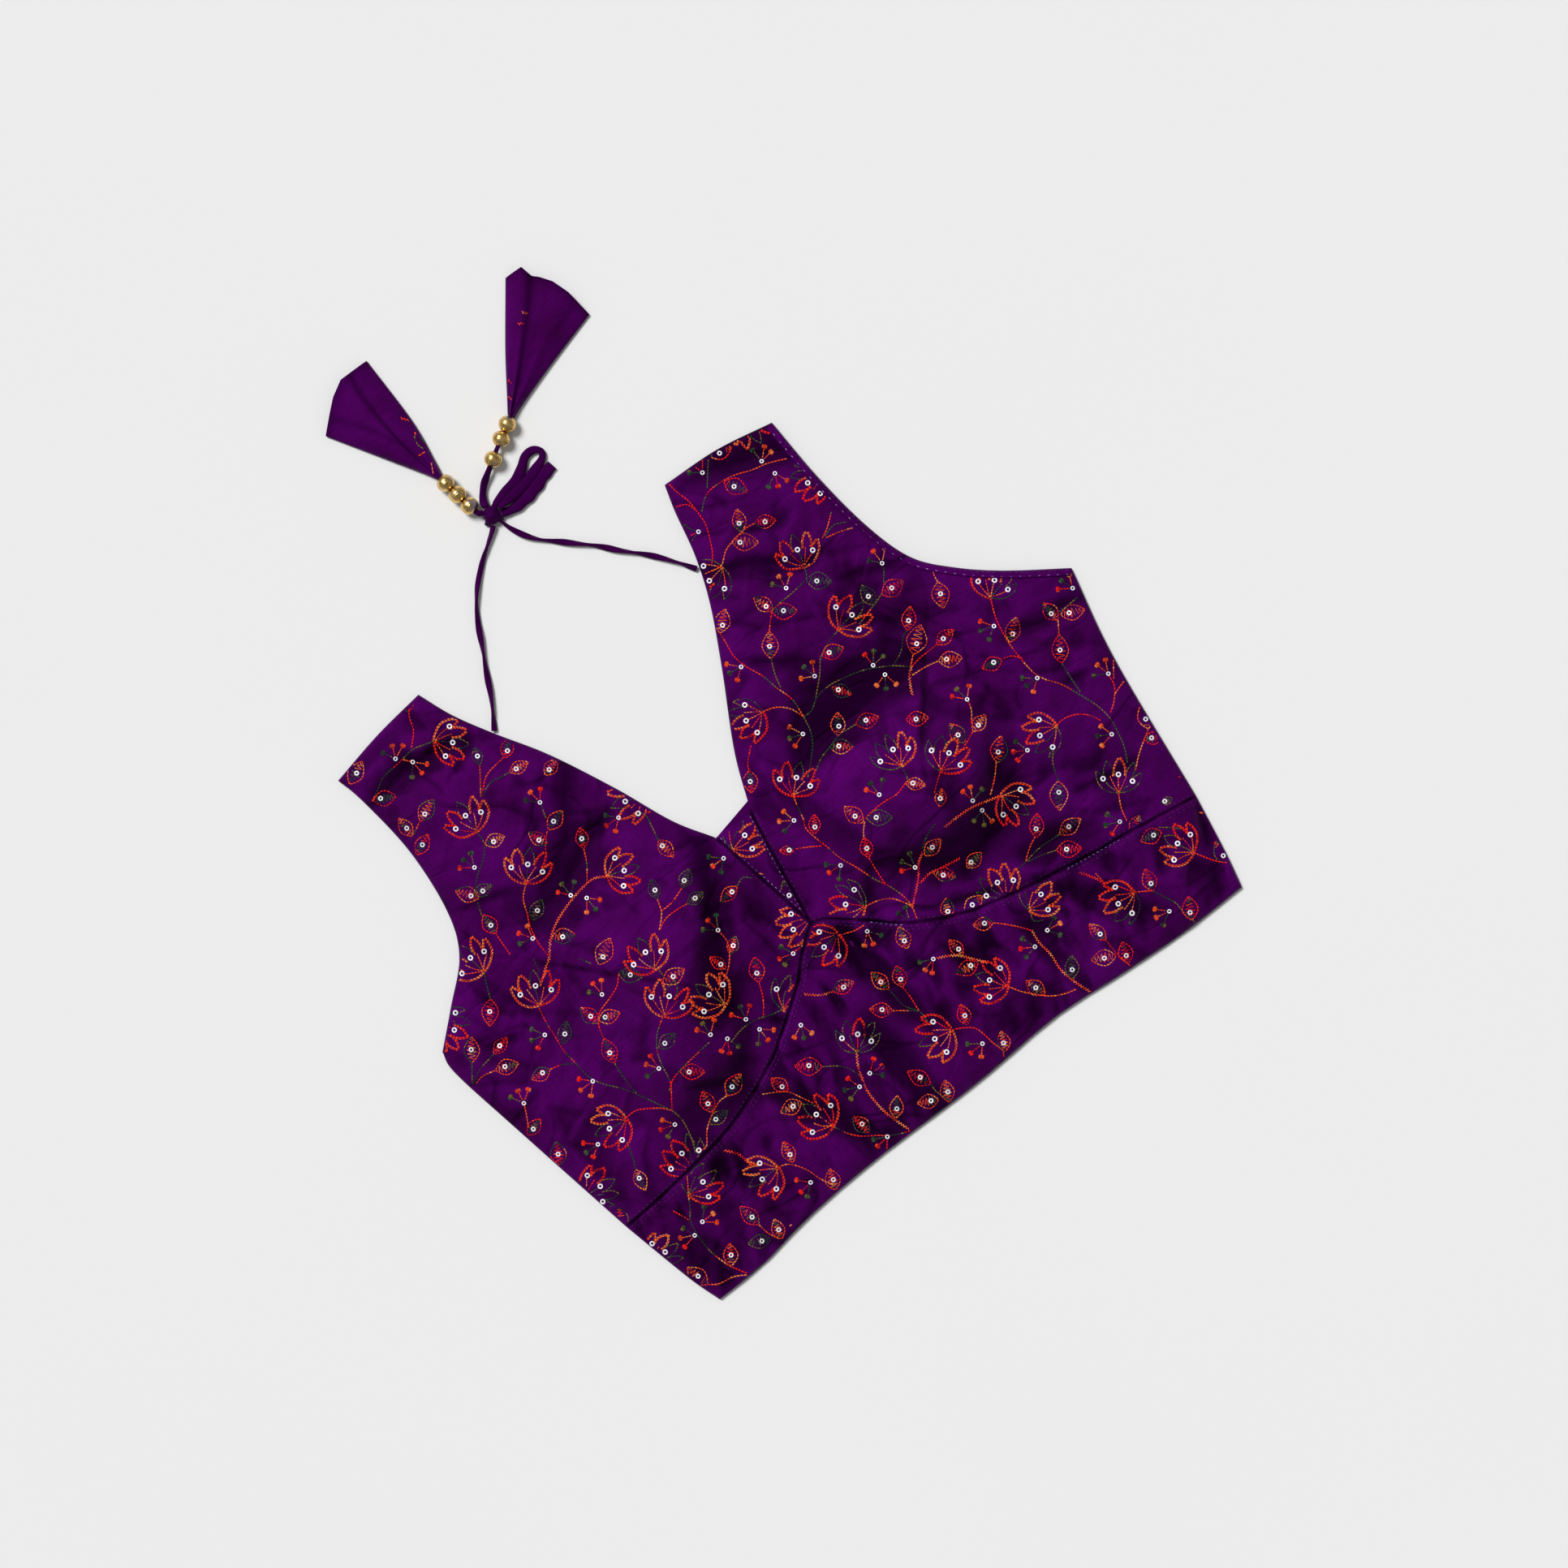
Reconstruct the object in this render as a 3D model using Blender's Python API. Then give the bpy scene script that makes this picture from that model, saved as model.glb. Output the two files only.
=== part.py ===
"""Choli blouse laid flat on a table, its front side up, with its dori strings tied above the neck.

The cloth is a set of thin walls. The back is a flat panel that rests on the table. The front lies on
it and rises over two padded cups. Plan sizes are in millimetres from the middle of the hem: +X runs
along the hem towards the wearer's left, +Y runs to the shoulders and +Z is up. The part is placed
with its origin under the middle of the garment, on the table.
"""
import math
from collections import namedtuple

import bmesh
import bpy
import numpy as np

MM = 0.001
HALF = 0.5

# Driving dimensions, in millimetres
BACK_WALL = 1.4
FRONT_WALL = 1.6
SEAM_GAP = 0.32
FACING_WALL = 0.9
FACING_GAP = 0.5
FACING_WIDTH = 4.6
BACK_INSET = 0.3
CENTRE_X = -1.62
CENTRE_Y = 195.26
LOFT = 4.6
LOFT_REACH = 11.0
EDGE_REACH = 16.0
STRING_DIAMETER = 3.5
TAIL_DIAMETER = 4.4
TAB_WIDTH = 4.6
TAB_THICKNESS = 2.6
BEAD_DIAMETER = 10.5
BEAD_LENGTH = 9.0
BEAD_HOLE_RIM = 2.3
TASSEL_WALL = 1.1

# Grid counts: cells along a cup's seam, up its lower half, up its strap, and down the band
CUP_COLUMNS = 21
CUP_ROWS = 13
STRAP_ROWS = 15
BAND_ROWS = 8
GUSSET_COLUMNS = 3
GUSSET_ROWS = 8
FRONT_EDGE_POINTS = 40
BACK_EDGE_POINTS = 13

FRONT_BASE = BACK_WALL + SEAM_GAP + FRONT_WALL

Point = namedtuple("Point", "x y")
Dome = namedtuple("Dome", "x y across along turn rise power")
Fold = namedtuple("Fold", "x0 y0 x1 y1 half_width rise")
RoutePoint = namedtuple("RoutePoint", "x y z")
Bead = namedtuple("Bead", "name x y toward_x toward_y")
TasselRow = namedtuple("TasselRow", "left_x left_y right_x right_y")

# Plan outline of the front, each edge as the points that its shape needs
HEM = [Point(-193, 0.6), Point(-160, 1.0), Point(-122, 6.0), Point(-70, 8.0), Point(0, 6.4),
       Point(60, 8.4), Point(103, 4.4), Point(150, 0.6), Point(192, 0.6)]
SIDE_LEFT_LOW = [Point(-193, 0.6), Point(-199.5, 22), Point(-209.4, 67)]
SIDE_LEFT_HIGH = [Point(-209.4, 67), Point(-224, 150), Point(-232, 198), Point(-230.2, 212.4)]
SIDE_RIGHT_LOW = [Point(192, 0.6), Point(197, 22), Point(203.8, 58.5)]
SIDE_RIGHT_HIGH = [Point(203.8, 58.5), Point(216, 150), Point(229, 206.6)]
ARMHOLE_LEFT = [Point(-230.2, 212.4), Point(-210, 230), Point(-188, 250), Point(-177.5, 275),
                Point(-173.2, 315), Point(-176.5, 355), Point(-180.3, 373)]
ARMHOLE_RIGHT = [Point(229, 206.6), Point(197, 230), Point(175, 250), Point(159.5, 270),
                 Point(151, 300), Point(146.4, 340), Point(145.1, 380.1)]
STRAP_TOP_LEFT = [Point(-180.3, 373), Point(-146, 379.6), Point(-113, 383.3)]
STRAP_TOP_RIGHT = [Point(74, 390.2), Point(110, 387.6), Point(145.1, 380.1)]
NECK_LEFT = [Point(-29.2, 211.7), Point(-43, 235), Point(-57, 270), Point(-75, 309),
             Point(-92.7, 339), Point(-105, 362), Point(-113, 383.3)]
NECK_RIGHT = [Point(-4, 211), Point(10, 244), Point(34, 286), Point(52, 320), Point(62.4, 347),
              Point(69, 374), Point(74, 390.2)]

# Seams between the panels
GUSSET_TIP = Point(-16.3, 138.6)
SEAM_LEFT = [Point(-209.4, 67), Point(-165, 70), Point(-122, 76.7), Point(-84, 91), Point(-50, 112),
             Point(-28, 131), GUSSET_TIP]
SEAM_RIGHT = [GUSSET_TIP, Point(-7, 134.6), Point(10, 120), Point(30, 102.5), Point(62.4, 86.6),
              Point(112.4, 74.1), Point(165, 65.3), Point(203.8, 58.5)]
GUSSET_LEFT = [GUSSET_TIP, Point(-22.4, 173), Point(-29.2, 211.7)]
GUSSET_RIGHT = [GUSSET_TIP, Point(-10.8, 173), Point(-4, 211)]
GUSSET_START = 0.08
# Share of the hem that lies left of the gusset's tip
TIP_SHARE = 0.463

# Padded cups: the middle, the half sizes across and along, the turn in degrees, the height
DOMES = [
    Dome(82, 162, 70, 62, 0, 19.5, 1.35),
    Dome(84, 158, 36, 30, 0, 3.0, 1.5),
    Dome(-100, 160, 58, 78, -16, 18.0, 1.35),
    Dome(-88, 148, 30, 34, 0, 3.0, 1.5),
    Dome(-140, 120, 70, 60, 0, 4.0, 1.5),
    Dome(150, 120, 60, 58, 0, 3.6, 1.5),
]

# Largest folds: a soft ridge where the rise is positive, a trough where it is negative
FOLDS = [
    Fold(38, 214, 62, 229, 11, -4.2), Fold(62, 229, 92, 233, 12, -4.8), Fold(92, 233, 122, 218, 11, -4.0),
    Fold(18, 184, 34, 140, 8, -2.4), Fold(34, 140, 74, 106, 8, -2.8), Fold(74, 106, 122, 118, 8, -2.4),
    Fold(122, 118, 146, 160, 9, -1.6), Fold(54, 190, 100, 196, 6, 1.4),
    Fold(-40, 214, -58, 168, 10, -2.6), Fold(-58, 168, -80, 128, 9, -3.0),
    Fold(-140, 238, -84, 258, 9, -2.8), Fold(-106, 256, -70, 298, 7, -2.2),
    Fold(-136, 262, -96, 292, 8, 1.6), Fold(-150, 96, -96, 100, 9, -2.4),
    Fold(-164, 352, -116, 347, 8, -2.8), Fold(-172, 330, -132, 322, 10, 1.2),
    Fold(84, 383, 138, 362, 9, -3.0), Fold(62, 334, 112, 303, 8, -2.4), Fold(44, 284, 78, 256, 5, -1.6),
    Fold(90, 290, 140, 262, 12, 1.8), Fold(124, 244, 160, 232, 8, -1.8), Fold(174, 197, 222, 192, 7, -2.2),
    Fold(150, 150, 200, 120, 12, 1.6), Fold(104, 94, 146, 80, 8, -2.6), Fold(150, 92, 196, 84, 7, 1.6),
    Fold(-206, 128, -168, 148, 14, 1.4), Fold(-24, 200, -20, 152, 5, -1.4),
    Fold(-146, 62, -168, 10, 7, -2.2), Fold(-122, 64, -118, 14, 8, 1.2), Fold(-92, 74, -62, 14, 7, -3.0),
    Fold(-52, 92, -40, 22, 9, 1.6), Fold(-22, 74, -25, 14, 10, -3.2), Fold(-8, 124, 2, 50, 7, -2.6),
    Fold(18, 96, 26, 20, 9, 2.0), Fold(50, 78, 52, 24, 8, -1.6), Fold(80, 70, 84, 12, 7, -2.2),
    Fold(112, 62, 146, 14, 8, -2.6), Fold(170, 54, 162, 12, 9, 1.4),
]

# Routes of the tied strings, from the neck edge to the knot and from the knot to the beads
STRING_LEFT = [
    RoutePoint(-91.6, 339.5, 1.8), RoutePoint(-89.4, 342.6, 1.8), RoutePoint(-85.8, 348.0, 1.8),
    RoutePoint(-80.2, 357.4, 1.8), RoutePoint(-74.4, 368.4, 1.8), RoutePoint(-67.4, 381.2, 1.8),
    RoutePoint(-59.5, 395.6, 1.8), RoutePoint(-50.0, 408.6, 1.8), RoutePoint(-39.1, 418.4, 1.8),
    RoutePoint(-29.2, 425.6, 1.8), RoutePoint(-21.8, 430.4, 2.3), RoutePoint(-18.4, 433.1, 3.0)]
STRING_RIGHT = [
    RoutePoint(58.6, 340.5, 1.8), RoutePoint(56.6, 343.4, 1.8), RoutePoint(52.2, 350.2, 1.8),
    RoutePoint(45.4, 359.6, 1.8), RoutePoint(37.8, 368.4, 1.8), RoutePoint(29.8, 377.0, 1.8),
    RoutePoint(21.6, 386.6, 1.8), RoutePoint(9.6, 398.6, 1.8), RoutePoint(-1.6, 409.6, 1.8),
    RoutePoint(-7.6, 417.6, 1.8), RoutePoint(-11.4, 425.6, 2.3), RoutePoint(-13.4, 432.5, 3.0)]
TAIL_LEFT = [RoutePoint(-19.9, 442.5, 4.5), RoutePoint(-20.6, 443.9, 4.9), RoutePoint(-21.1, 445.2, 5.1)]
TAIL_RIGHT = [
    RoutePoint(-15.0, 444.15, 3.4), RoutePoint(-14.2, 447.4, 2.6), RoutePoint(-11.6, 451.4, 2.4),
    RoutePoint(-7.6, 455.2, 3.0), RoutePoint(-3.0, 458.1, 4.4), RoutePoint(0.85, 460.3, 5.1)]
TAIL_RIGHT_LINK = [RoutePoint(9.6, 465.4, 5.25), RoutePoint(12.0, 466.9, 5.25)]
BOW_LOOP = [
    RoutePoint(-10.25, 441.9, 3.6), RoutePoint(-4.8, 443.2, 2.9), RoutePoint(0.5, 444.6, 2.2),
    RoutePoint(9.0, 445.8, 1.9), RoutePoint(15.0, 449.0, 1.8), RoutePoint(20.5, 453.0, 1.8),
    RoutePoint(26.3, 453.4, 1.8), RoutePoint(30.0, 450.2, 1.8), RoutePoint(28.2, 446.4, 1.8),
    RoutePoint(21.5, 443.7, 1.8), RoutePoint(13.0, 441.2, 1.9), RoutePoint(3.0, 439.8, 2.8),
    RoutePoint(-4.0, 439.1, 4.4), RoutePoint(-9.4, 438.6, 5.3)]
BOW_TAB = [
    RoutePoint(-10.4, 435.6, 2.6), RoutePoint(-2.0, 433.4, 2.2), RoutePoint(8.0, 433.9, 1.8),
    RoutePoint(16.0, 435.9, 1.6), RoutePoint(23.0, 438.3, 1.5), RoutePoint(30.2, 439.5, 1.5)]
STRING_POINTS = 34
TAIL_POINTS = 12
BOW_POINTS = 30

KNOT_CENTRE = RoutePoint(-15.2, 438.2, 3.6)
KNOT_HALF_WIDTH = 5.2
KNOT_HALF_LENGTH = 5.6
KNOT_HALF_HEIGHT = 3.5

# Beads on the tails: each stands on the table and its hole points along the cord
BEADS = [
    Bead("bead_left_1", -24.7, 469.2, -1.3, 9.3), Bead("bead_left_2", -23.4, 459.8, -1.3, 9.3),
    Bead("bead_left_3", -22.0, 450.4, -1.4, 9.3), Bead("bead_right_1", 24.4, 473.8, 8.7, 4.9),
    Bead("bead_right_2", 16.3, 469.2, 8.7, 4.9), Bead("bead_right_3", 5.4, 462.9, 8.6, 5.2),
]

# Tassels: the two long edges from the neck to the open mouth, and the mouth's own edge
TASSEL_LEFT_ROWS = [
    TasselRow(-27.4, 474.1, -23.4, 474.2), TasselRow(-31.6, 482.0, -21.6, 483.4),
    TasselRow(-45.4, 505.2, -17.6, 510.0), TasselRow(-62.4, 533.8, -16.8, 553.4)]
TASSEL_LEFT_MOUTH = [Point(-62.4, 533.8), Point(-45.0, 548.4), Point(-35.3, 553.6), Point(-16.8, 553.4)]
TASSEL_RIGHT_ROWS = [
    TasselRow(27.8, 478.2, 29.8, 474.5), TasselRow(34.2, 487.0, 40.0, 478.1),
    TasselRow(50.6, 509.4, 66.0, 485.6), TasselRow(75.9, 541.2, 101.0, 494.6)]
TASSEL_RIGHT_MOUTH = [Point(75.9, 541.2), Point(87.2, 539.0), Point(98.2, 520.0), Point(101.0, 494.6)]
TASSEL_COLUMNS = 8
TASSEL_ROWS = 9
TASSEL_RISE = 4.6
TASSEL_FOLD_RISE = 1.0
TASSEL_FOLD_EDGE = 0.9

# Finish of each material: colour, roughness, metallic value
FINISHES = {
    "purple_silk": ((0.052, 0.003, 0.105), 0.42, 0.0),
    "purple_facing": ((0.060, 0.006, 0.120), 0.50, 0.0),
    "purple_cord": ((0.040, 0.002, 0.085), 0.50, 0.0),
    "gold_bead": ((0.72, 0.49, 0.17), 0.28, 1.0),
}


def clear_scene():
    for item in list(bpy.data.objects):
        bpy.data.objects.remove(item, do_unlink=True)


def make_material(name):
    colour, roughness, metallic = FINISHES[name]
    material = bpy.data.materials.new(name)
    material.use_nodes = True
    shader = material.node_tree.nodes["Principled BSDF"]
    shader.inputs["Base Color"].default_value = (*colour, 1.0)
    shader.inputs["Roughness"].default_value = roughness
    shader.inputs["Metallic"].default_value = metallic
    return material


def place(points):
    """Millimetres from the middle of the hem to metres from the part's origin."""
    moved = np.array(points, dtype=float)
    moved[:, 0] -= CENTRE_X
    moved[:, 1] -= CENTRE_Y
    return moved * MM


def add_object(name, vertices, faces, material):
    """One closed body from points in millimetres, with its faces turned outwards."""
    mesh = bpy.data.meshes.new(name)
    mesh.from_pydata([tuple(point) for point in place(vertices)], [], faces)
    body = bmesh.new()
    body.from_mesh(mesh)
    bmesh.ops.recalc_face_normals(body, faces=body.faces)
    if body.calc_volume(signed=True) < 0:
        bmesh.ops.reverse_faces(body, faces=body.faces)
    body.to_mesh(mesh)
    body.free()
    mesh.shade_smooth()
    mesh.set_sharp_from_angle(angle=math.radians(50))
    mesh.materials.append(material)
    item = bpy.data.objects.new(name, mesh)
    bpy.context.collection.objects.link(item)
    return item


def spread(count, ends=0.0):
    """Parameters from 0 to 1, drawn towards both ends by the share given."""
    even = np.linspace(0.0, 1.0, count)
    return (1.0 - ends) * even + ends * (0.5 - 0.5 * np.cos(np.pi * even))


def smooth_curve(points, where):
    """Points of a Catmull-Rom curve through the given ones, at shares of its length."""
    knots = np.array([tuple(point) for point in points], dtype=float)
    first = 2 * knots[0] - knots[1]
    last = 2 * knots[-1] - knots[-2]
    knots = np.vstack([first, knots, last])
    steps = np.linspace(0.0, 1.0, 24, endpoint=False)[:, None]
    pieces = []
    for i in range(1, len(knots) - 2):
        a, b, c, d = knots[i - 1:i + 3]
        pieces.append(HALF * (2 * b + (c - a) * steps + (2 * a - 5 * b + 4 * c - d) * steps ** 2
                              + (3 * b - a - 3 * c + d) * steps ** 3))
    dense = np.vstack(pieces + [knots[-2:-1]])
    lengths = np.concatenate([[0.0], np.cumsum(np.linalg.norm(np.diff(dense, axis=0), axis=1))])
    wanted = np.asarray(where) * lengths[-1]
    return np.stack([np.interp(wanted, lengths, dense[:, k]) for k in range(dense.shape[1])], axis=1)


def offset(line, distance):
    """The line moved to its left by a distance, point for point."""
    along = np.gradient(line[:, :2], axis=0)
    along /= np.linalg.norm(along, axis=1)[:, None]
    moved = line.copy()
    moved[:, 0] -= along[:, 1] * distance
    moved[:, 1] += along[:, 0] * distance
    return moved


def straight(start, end, where):
    return np.array([start]) + (np.array([end]) - np.array([start])) * np.asarray(where)[:, None]


def coons(bottom, top, left, right, across, up):
    """Plan points inside four edges, as rows from bottom to top."""
    u = np.asarray(across)[None, :, None]
    v = np.asarray(up)[:, None, None]
    between = (1 - v) * bottom[None] + v * top[None] + (1 - u) * left[:, None] + u * right[:, None]
    corners = ((1 - u) * (1 - v) * bottom[0] + u * (1 - v) * bottom[-1]
               + (1 - u) * v * top[0] + u * v * top[-1])
    return between - corners


def outline_points(per_edge):
    """The whole outline of the front in order, anticlockwise seen from above."""
    shares = np.linspace(0.0, 1.0, per_edge)
    edges = [smooth_curve(HEM, shares), smooth_curve(SIDE_RIGHT_LOW, shares),
             smooth_curve(SIDE_RIGHT_HIGH, shares), smooth_curve(ARMHOLE_RIGHT, shares),
             smooth_curve(STRAP_TOP_RIGHT, shares)[::-1], smooth_curve(NECK_RIGHT, shares)[::-1],
             smooth_curve(NECK_LEFT, shares), smooth_curve(STRAP_TOP_LEFT, shares)[::-1],
             smooth_curve(ARMHOLE_LEFT, shares)[::-1], smooth_curve(SIDE_LEFT_HIGH, shares)[::-1],
             smooth_curve(SIDE_LEFT_LOW, shares)[::-1]]
    joined = np.vstack([edge[:-1] for edge in edges])
    step = np.linalg.norm(joined - np.roll(joined, 1, axis=0), axis=1)
    return joined[step > 0.05]


def distance_to_segment(x, y, x0, y0, x1, y1):
    """Distance from points to a segment, and the share of its length that is nearest."""
    dx, dy = x1 - x0, y1 - y0
    share = np.clip(((x - x0) * dx + (y - y0) * dy) / (dx * dx + dy * dy), 0.0, 1.0)
    return np.hypot(x - x0 - share * dx, y - y0 - share * dy), share


def edge_distance(x, y, outline):
    nearest = np.full(np.shape(x), np.inf)
    following = np.roll(outline, -1, axis=0)
    for start, end in zip(outline, following):
        away, _ = distance_to_segment(x, y, start[0], start[1], end[0], end[1])
        nearest = np.minimum(nearest, away)
    return nearest


def dome_height(x, y, dome):
    turn = math.radians(dome.turn)
    across = ((x - dome.x) * math.cos(turn) + (y - dome.y) * math.sin(turn)) / dome.across
    along = (-(x - dome.x) * math.sin(turn) + (y - dome.y) * math.cos(turn)) / dome.along
    return dome.rise * np.maximum(1.0 - across ** 2 - along ** 2, 0.0) ** dome.power


def fold_height(x, y, fold):
    away, share = distance_to_segment(x, y, fold.x0, fold.y0, fold.x1, fold.y1)
    width = fold.half_width * (0.72 + 0.28 * np.sin(np.pi * share))
    return fold.rise * np.exp(-(away / width) ** 2)


def front_height(x, y, outline):
    """Height of the front's outer face above the table: low at the edges, high over the cups."""
    away = edge_distance(x, y, outline)
    form = sum(dome_height(x, y, dome) for dome in DOMES)
    form = form + sum(fold_height(x, y, fold) for fold in FOLDS)
    loft = LOFT * (1.0 - np.exp(-away / LOFT_REACH))
    held = 1.0 - np.exp(-(away / EDGE_REACH) ** 1.5)
    return FRONT_BASE + np.maximum(loft + form * held, 0.0)


def grid_faces(rows, columns, start, flip):
    faces = []
    for i in range(rows - 1):
        for j in range(columns - 1):
            a = start + i * columns + j
            quad = (a, a + 1, a + columns + 1, a + columns)
            faces.append(quad[::-1] if flip else quad)
    return faces


def rim_faces(rows, columns, lower):
    """Walls round the edge of two equal grids, the second starting at index lower."""
    loop = [j for j in range(columns)]
    loop += [i * columns + columns - 1 for i in range(1, rows)]
    loop += [(rows - 1) * columns + j for j in range(columns - 2, -1, -1)]
    loop += [i * columns for i in range(rows - 2, 0, -1)]
    return [(lower + a, lower + b, b, a) for a, b in zip(loop, loop[1:] + loop[:1])]


def add_wall(name, plan, top, thickness, material):
    """A cloth wall: a grid of plan points with its top height, and the same grid lower down."""
    rows, columns = plan.shape[:2]
    flat = plan.reshape(-1, 2)
    height = top.reshape(-1)
    upper = np.column_stack([flat, height])
    under = np.column_stack([flat, height - thickness])
    faces = grid_faces(rows, columns, 0, False)
    faces += grid_faces(rows, columns, rows * columns, True)
    faces += rim_faces(rows, columns, rows * columns)
    return add_object(name, np.vstack([upper, under]), faces, material)


def build_panels(outline, material):
    """The two fronts, the gusset between them and the band below, meeting at their seams."""
    across = spread(CUP_COLUMNS + 1, 0.45)
    low = spread(CUP_ROWS + 1, 0.25)
    high = spread(STRAP_ROWS + 1, 0.25)
    apart = SEAM_GAP * HALF

    seam_left = smooth_curve(SEAM_LEFT, across)
    seam_right = smooth_curve(SEAM_RIGHT, across)
    gusset_left = smooth_curve(GUSSET_LEFT, low)
    gusset_right = smooth_curve(GUSSET_RIGHT, low)

    def front(seam, side_low_left, side_low_right, side_high_left, side_high_right, strap_top):
        middle = straight(side_low_left[-1], side_low_right[-1], across)
        lower = coons(seam, middle, side_low_left, side_low_right, across, low)
        upper = coons(middle, strap_top, side_high_left, side_high_right, across, high)
        return np.vstack([lower, upper[1:]])

    left_seam = offset(seam_left, apart)
    left_seam[-1, 0] = GUSSET_TIP.x - apart
    left_inner = offset(gusset_left, apart)
    left_inner[0] = left_seam[-1]
    left_side = smooth_curve(SIDE_LEFT_HIGH, low)
    left_side[0] = left_seam[0]
    left_neck = smooth_curve(NECK_LEFT, high)
    left_neck[0] = left_inner[-1]
    plan = front(left_seam, left_side, left_inner, smooth_curve(ARMHOLE_LEFT, high),
                 left_neck, smooth_curve(STRAP_TOP_LEFT, across))
    add_wall("front_left", plan, front_height(plan[..., 0], plan[..., 1], outline), FRONT_WALL, material)

    right_seam = offset(seam_right, apart)
    right_seam[0, 0] = GUSSET_TIP.x + apart
    right_inner = offset(gusset_right, -apart)
    right_inner[0] = right_seam[0]
    right_side = smooth_curve(SIDE_RIGHT_HIGH, low)
    right_side[0] = right_seam[-1]
    right_neck = smooth_curve(NECK_RIGHT, high)
    right_neck[0] = right_inner[-1]
    plan = front(right_seam, right_inner, right_side, right_neck,
                 smooth_curve(ARMHOLE_RIGHT, high), smooth_curve(STRAP_TOP_RIGHT, across))
    add_wall("front_right", plan, front_height(plan[..., 0], plan[..., 1], outline), FRONT_WALL, material)

    up = GUSSET_START + (1.0 - GUSSET_START) * spread(GUSSET_ROWS + 1)
    edge_left = offset(smooth_curve(GUSSET_LEFT, up), -apart)
    edge_right = offset(smooth_curve(GUSSET_RIGHT, up), apart)
    share = spread(GUSSET_COLUMNS + 1)
    plan = np.stack([straight(a, b, share) for a, b in zip(edge_left, edge_right)])
    add_wall("centre_gusset", plan, front_height(plan[..., 0], plan[..., 1], outline), FRONT_WALL, material)

    seam = np.vstack([seam_left, seam_right[1:]])
    top = offset(seam, -apart)
    width = np.concatenate([across * HALF, HALF + across[1:] * HALF])
    hem_share = np.concatenate([across * TIP_SHARE, TIP_SHARE + across[1:] * (1 - TIP_SHARE)])
    bottom = smooth_curve(HEM, hem_share)
    down = spread(BAND_ROWS + 1, 0.25)
    left = smooth_curve(SIDE_LEFT_LOW, down)
    left[-1] = top[0]
    right = smooth_curve(SIDE_RIGHT_LOW, down)
    right[-1] = top[-1]
    plan = coons(bottom, top, left, right, width, down)
    add_wall("front_band", plan, front_height(plan[..., 0], plan[..., 1], outline), FRONT_WALL, material)


def build_back(material):
    """The flat back panel, a little smaller than the front that covers it."""
    outline = outline_points(BACK_EDGE_POINTS)
    inset = offset(np.vstack([outline[-1:], outline, outline[:1]]), BACK_INSET)[1:-1]
    count = len(inset)
    upper = np.column_stack([inset, np.full(count, BACK_WALL)])
    under = np.column_stack([inset, np.zeros(count)])
    faces = [tuple(range(count)), tuple(range(2 * count - 1, count - 1, -1))]
    faces += [(count + i, count + (i + 1) % count, (i + 1) % count, i) for i in range(count)]
    add_object("back", np.vstack([upper, under]), faces, material)


def build_facing(outline, material):
    """The stitched facing that shows along the right armhole, lying on the front's edge."""
    edge = smooth_curve(ARMHOLE_RIGHT, spread(45)[1:])
    edge = offset(edge, 0.2)
    inner = offset(edge, FACING_WIDTH)
    plan = np.stack([straight(a, b, spread(3)) for a, b in zip(edge, inner)])
    top = front_height(plan[..., 0], plan[..., 1], outline) + FACING_GAP + FACING_WALL
    add_wall("armhole_facing_right", plan, top, FACING_WALL, material)


def build_tube(name, route, diameter, points, material):
    """A cord: a round tube along a smooth curve through its route."""
    line = place(smooth_curve(route, np.linspace(0.0, 1.0, points)))
    curve = bpy.data.curves.new(name, "CURVE")
    curve.dimensions = "3D"
    curve.bevel_depth = diameter * HALF * MM
    curve.bevel_resolution = 2
    curve.use_fill_caps = True
    spline = curve.splines.new("POLY")
    spline.points.add(len(line) - 1)
    for point, here in zip(spline.points, line):
        point.co = (*here, 1.0)
    curve.materials.append(material)
    item = bpy.data.objects.new(name, curve)
    bpy.context.collection.objects.link(item)


def build_tab(material):
    """The flat folded end of the bow: a strip with rounded edges, wider at its cut end."""
    line = smooth_curve(BOW_TAB, np.linspace(0.0, 1.0, 14))
    along = np.gradient(line, axis=0)
    along /= np.linalg.norm(along, axis=1)[:, None]
    sides = np.stack([-along[:, 1], along[:, 0], np.zeros(len(line))], axis=1)
    ring = 8
    vertices = []
    for i, here in enumerate(line):
        flare = 1.0 + 0.24 * (i / (len(line) - 1)) ** 3
        for k in range(ring):
            angle = 2 * math.pi * (k + HALF) / ring
            across = TAB_WIDTH * HALF * flare * math.cos(angle)
            up = TAB_THICKNESS * HALF * math.sin(angle)
            vertices.append(here + sides[i] * across + np.array([0.0, 0.0, up]))
    faces = [tuple(range(ring)), tuple(range((len(line) - 1) * ring, len(line) * ring))]
    for i in range(len(line) - 1):
        for k in range(ring):
            a = i * ring + k
            b = i * ring + (k + 1) % ring
            faces.append((a, b, b + ring, a + ring))
    add_object("dori_bow_tab", vertices, faces, material)


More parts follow.
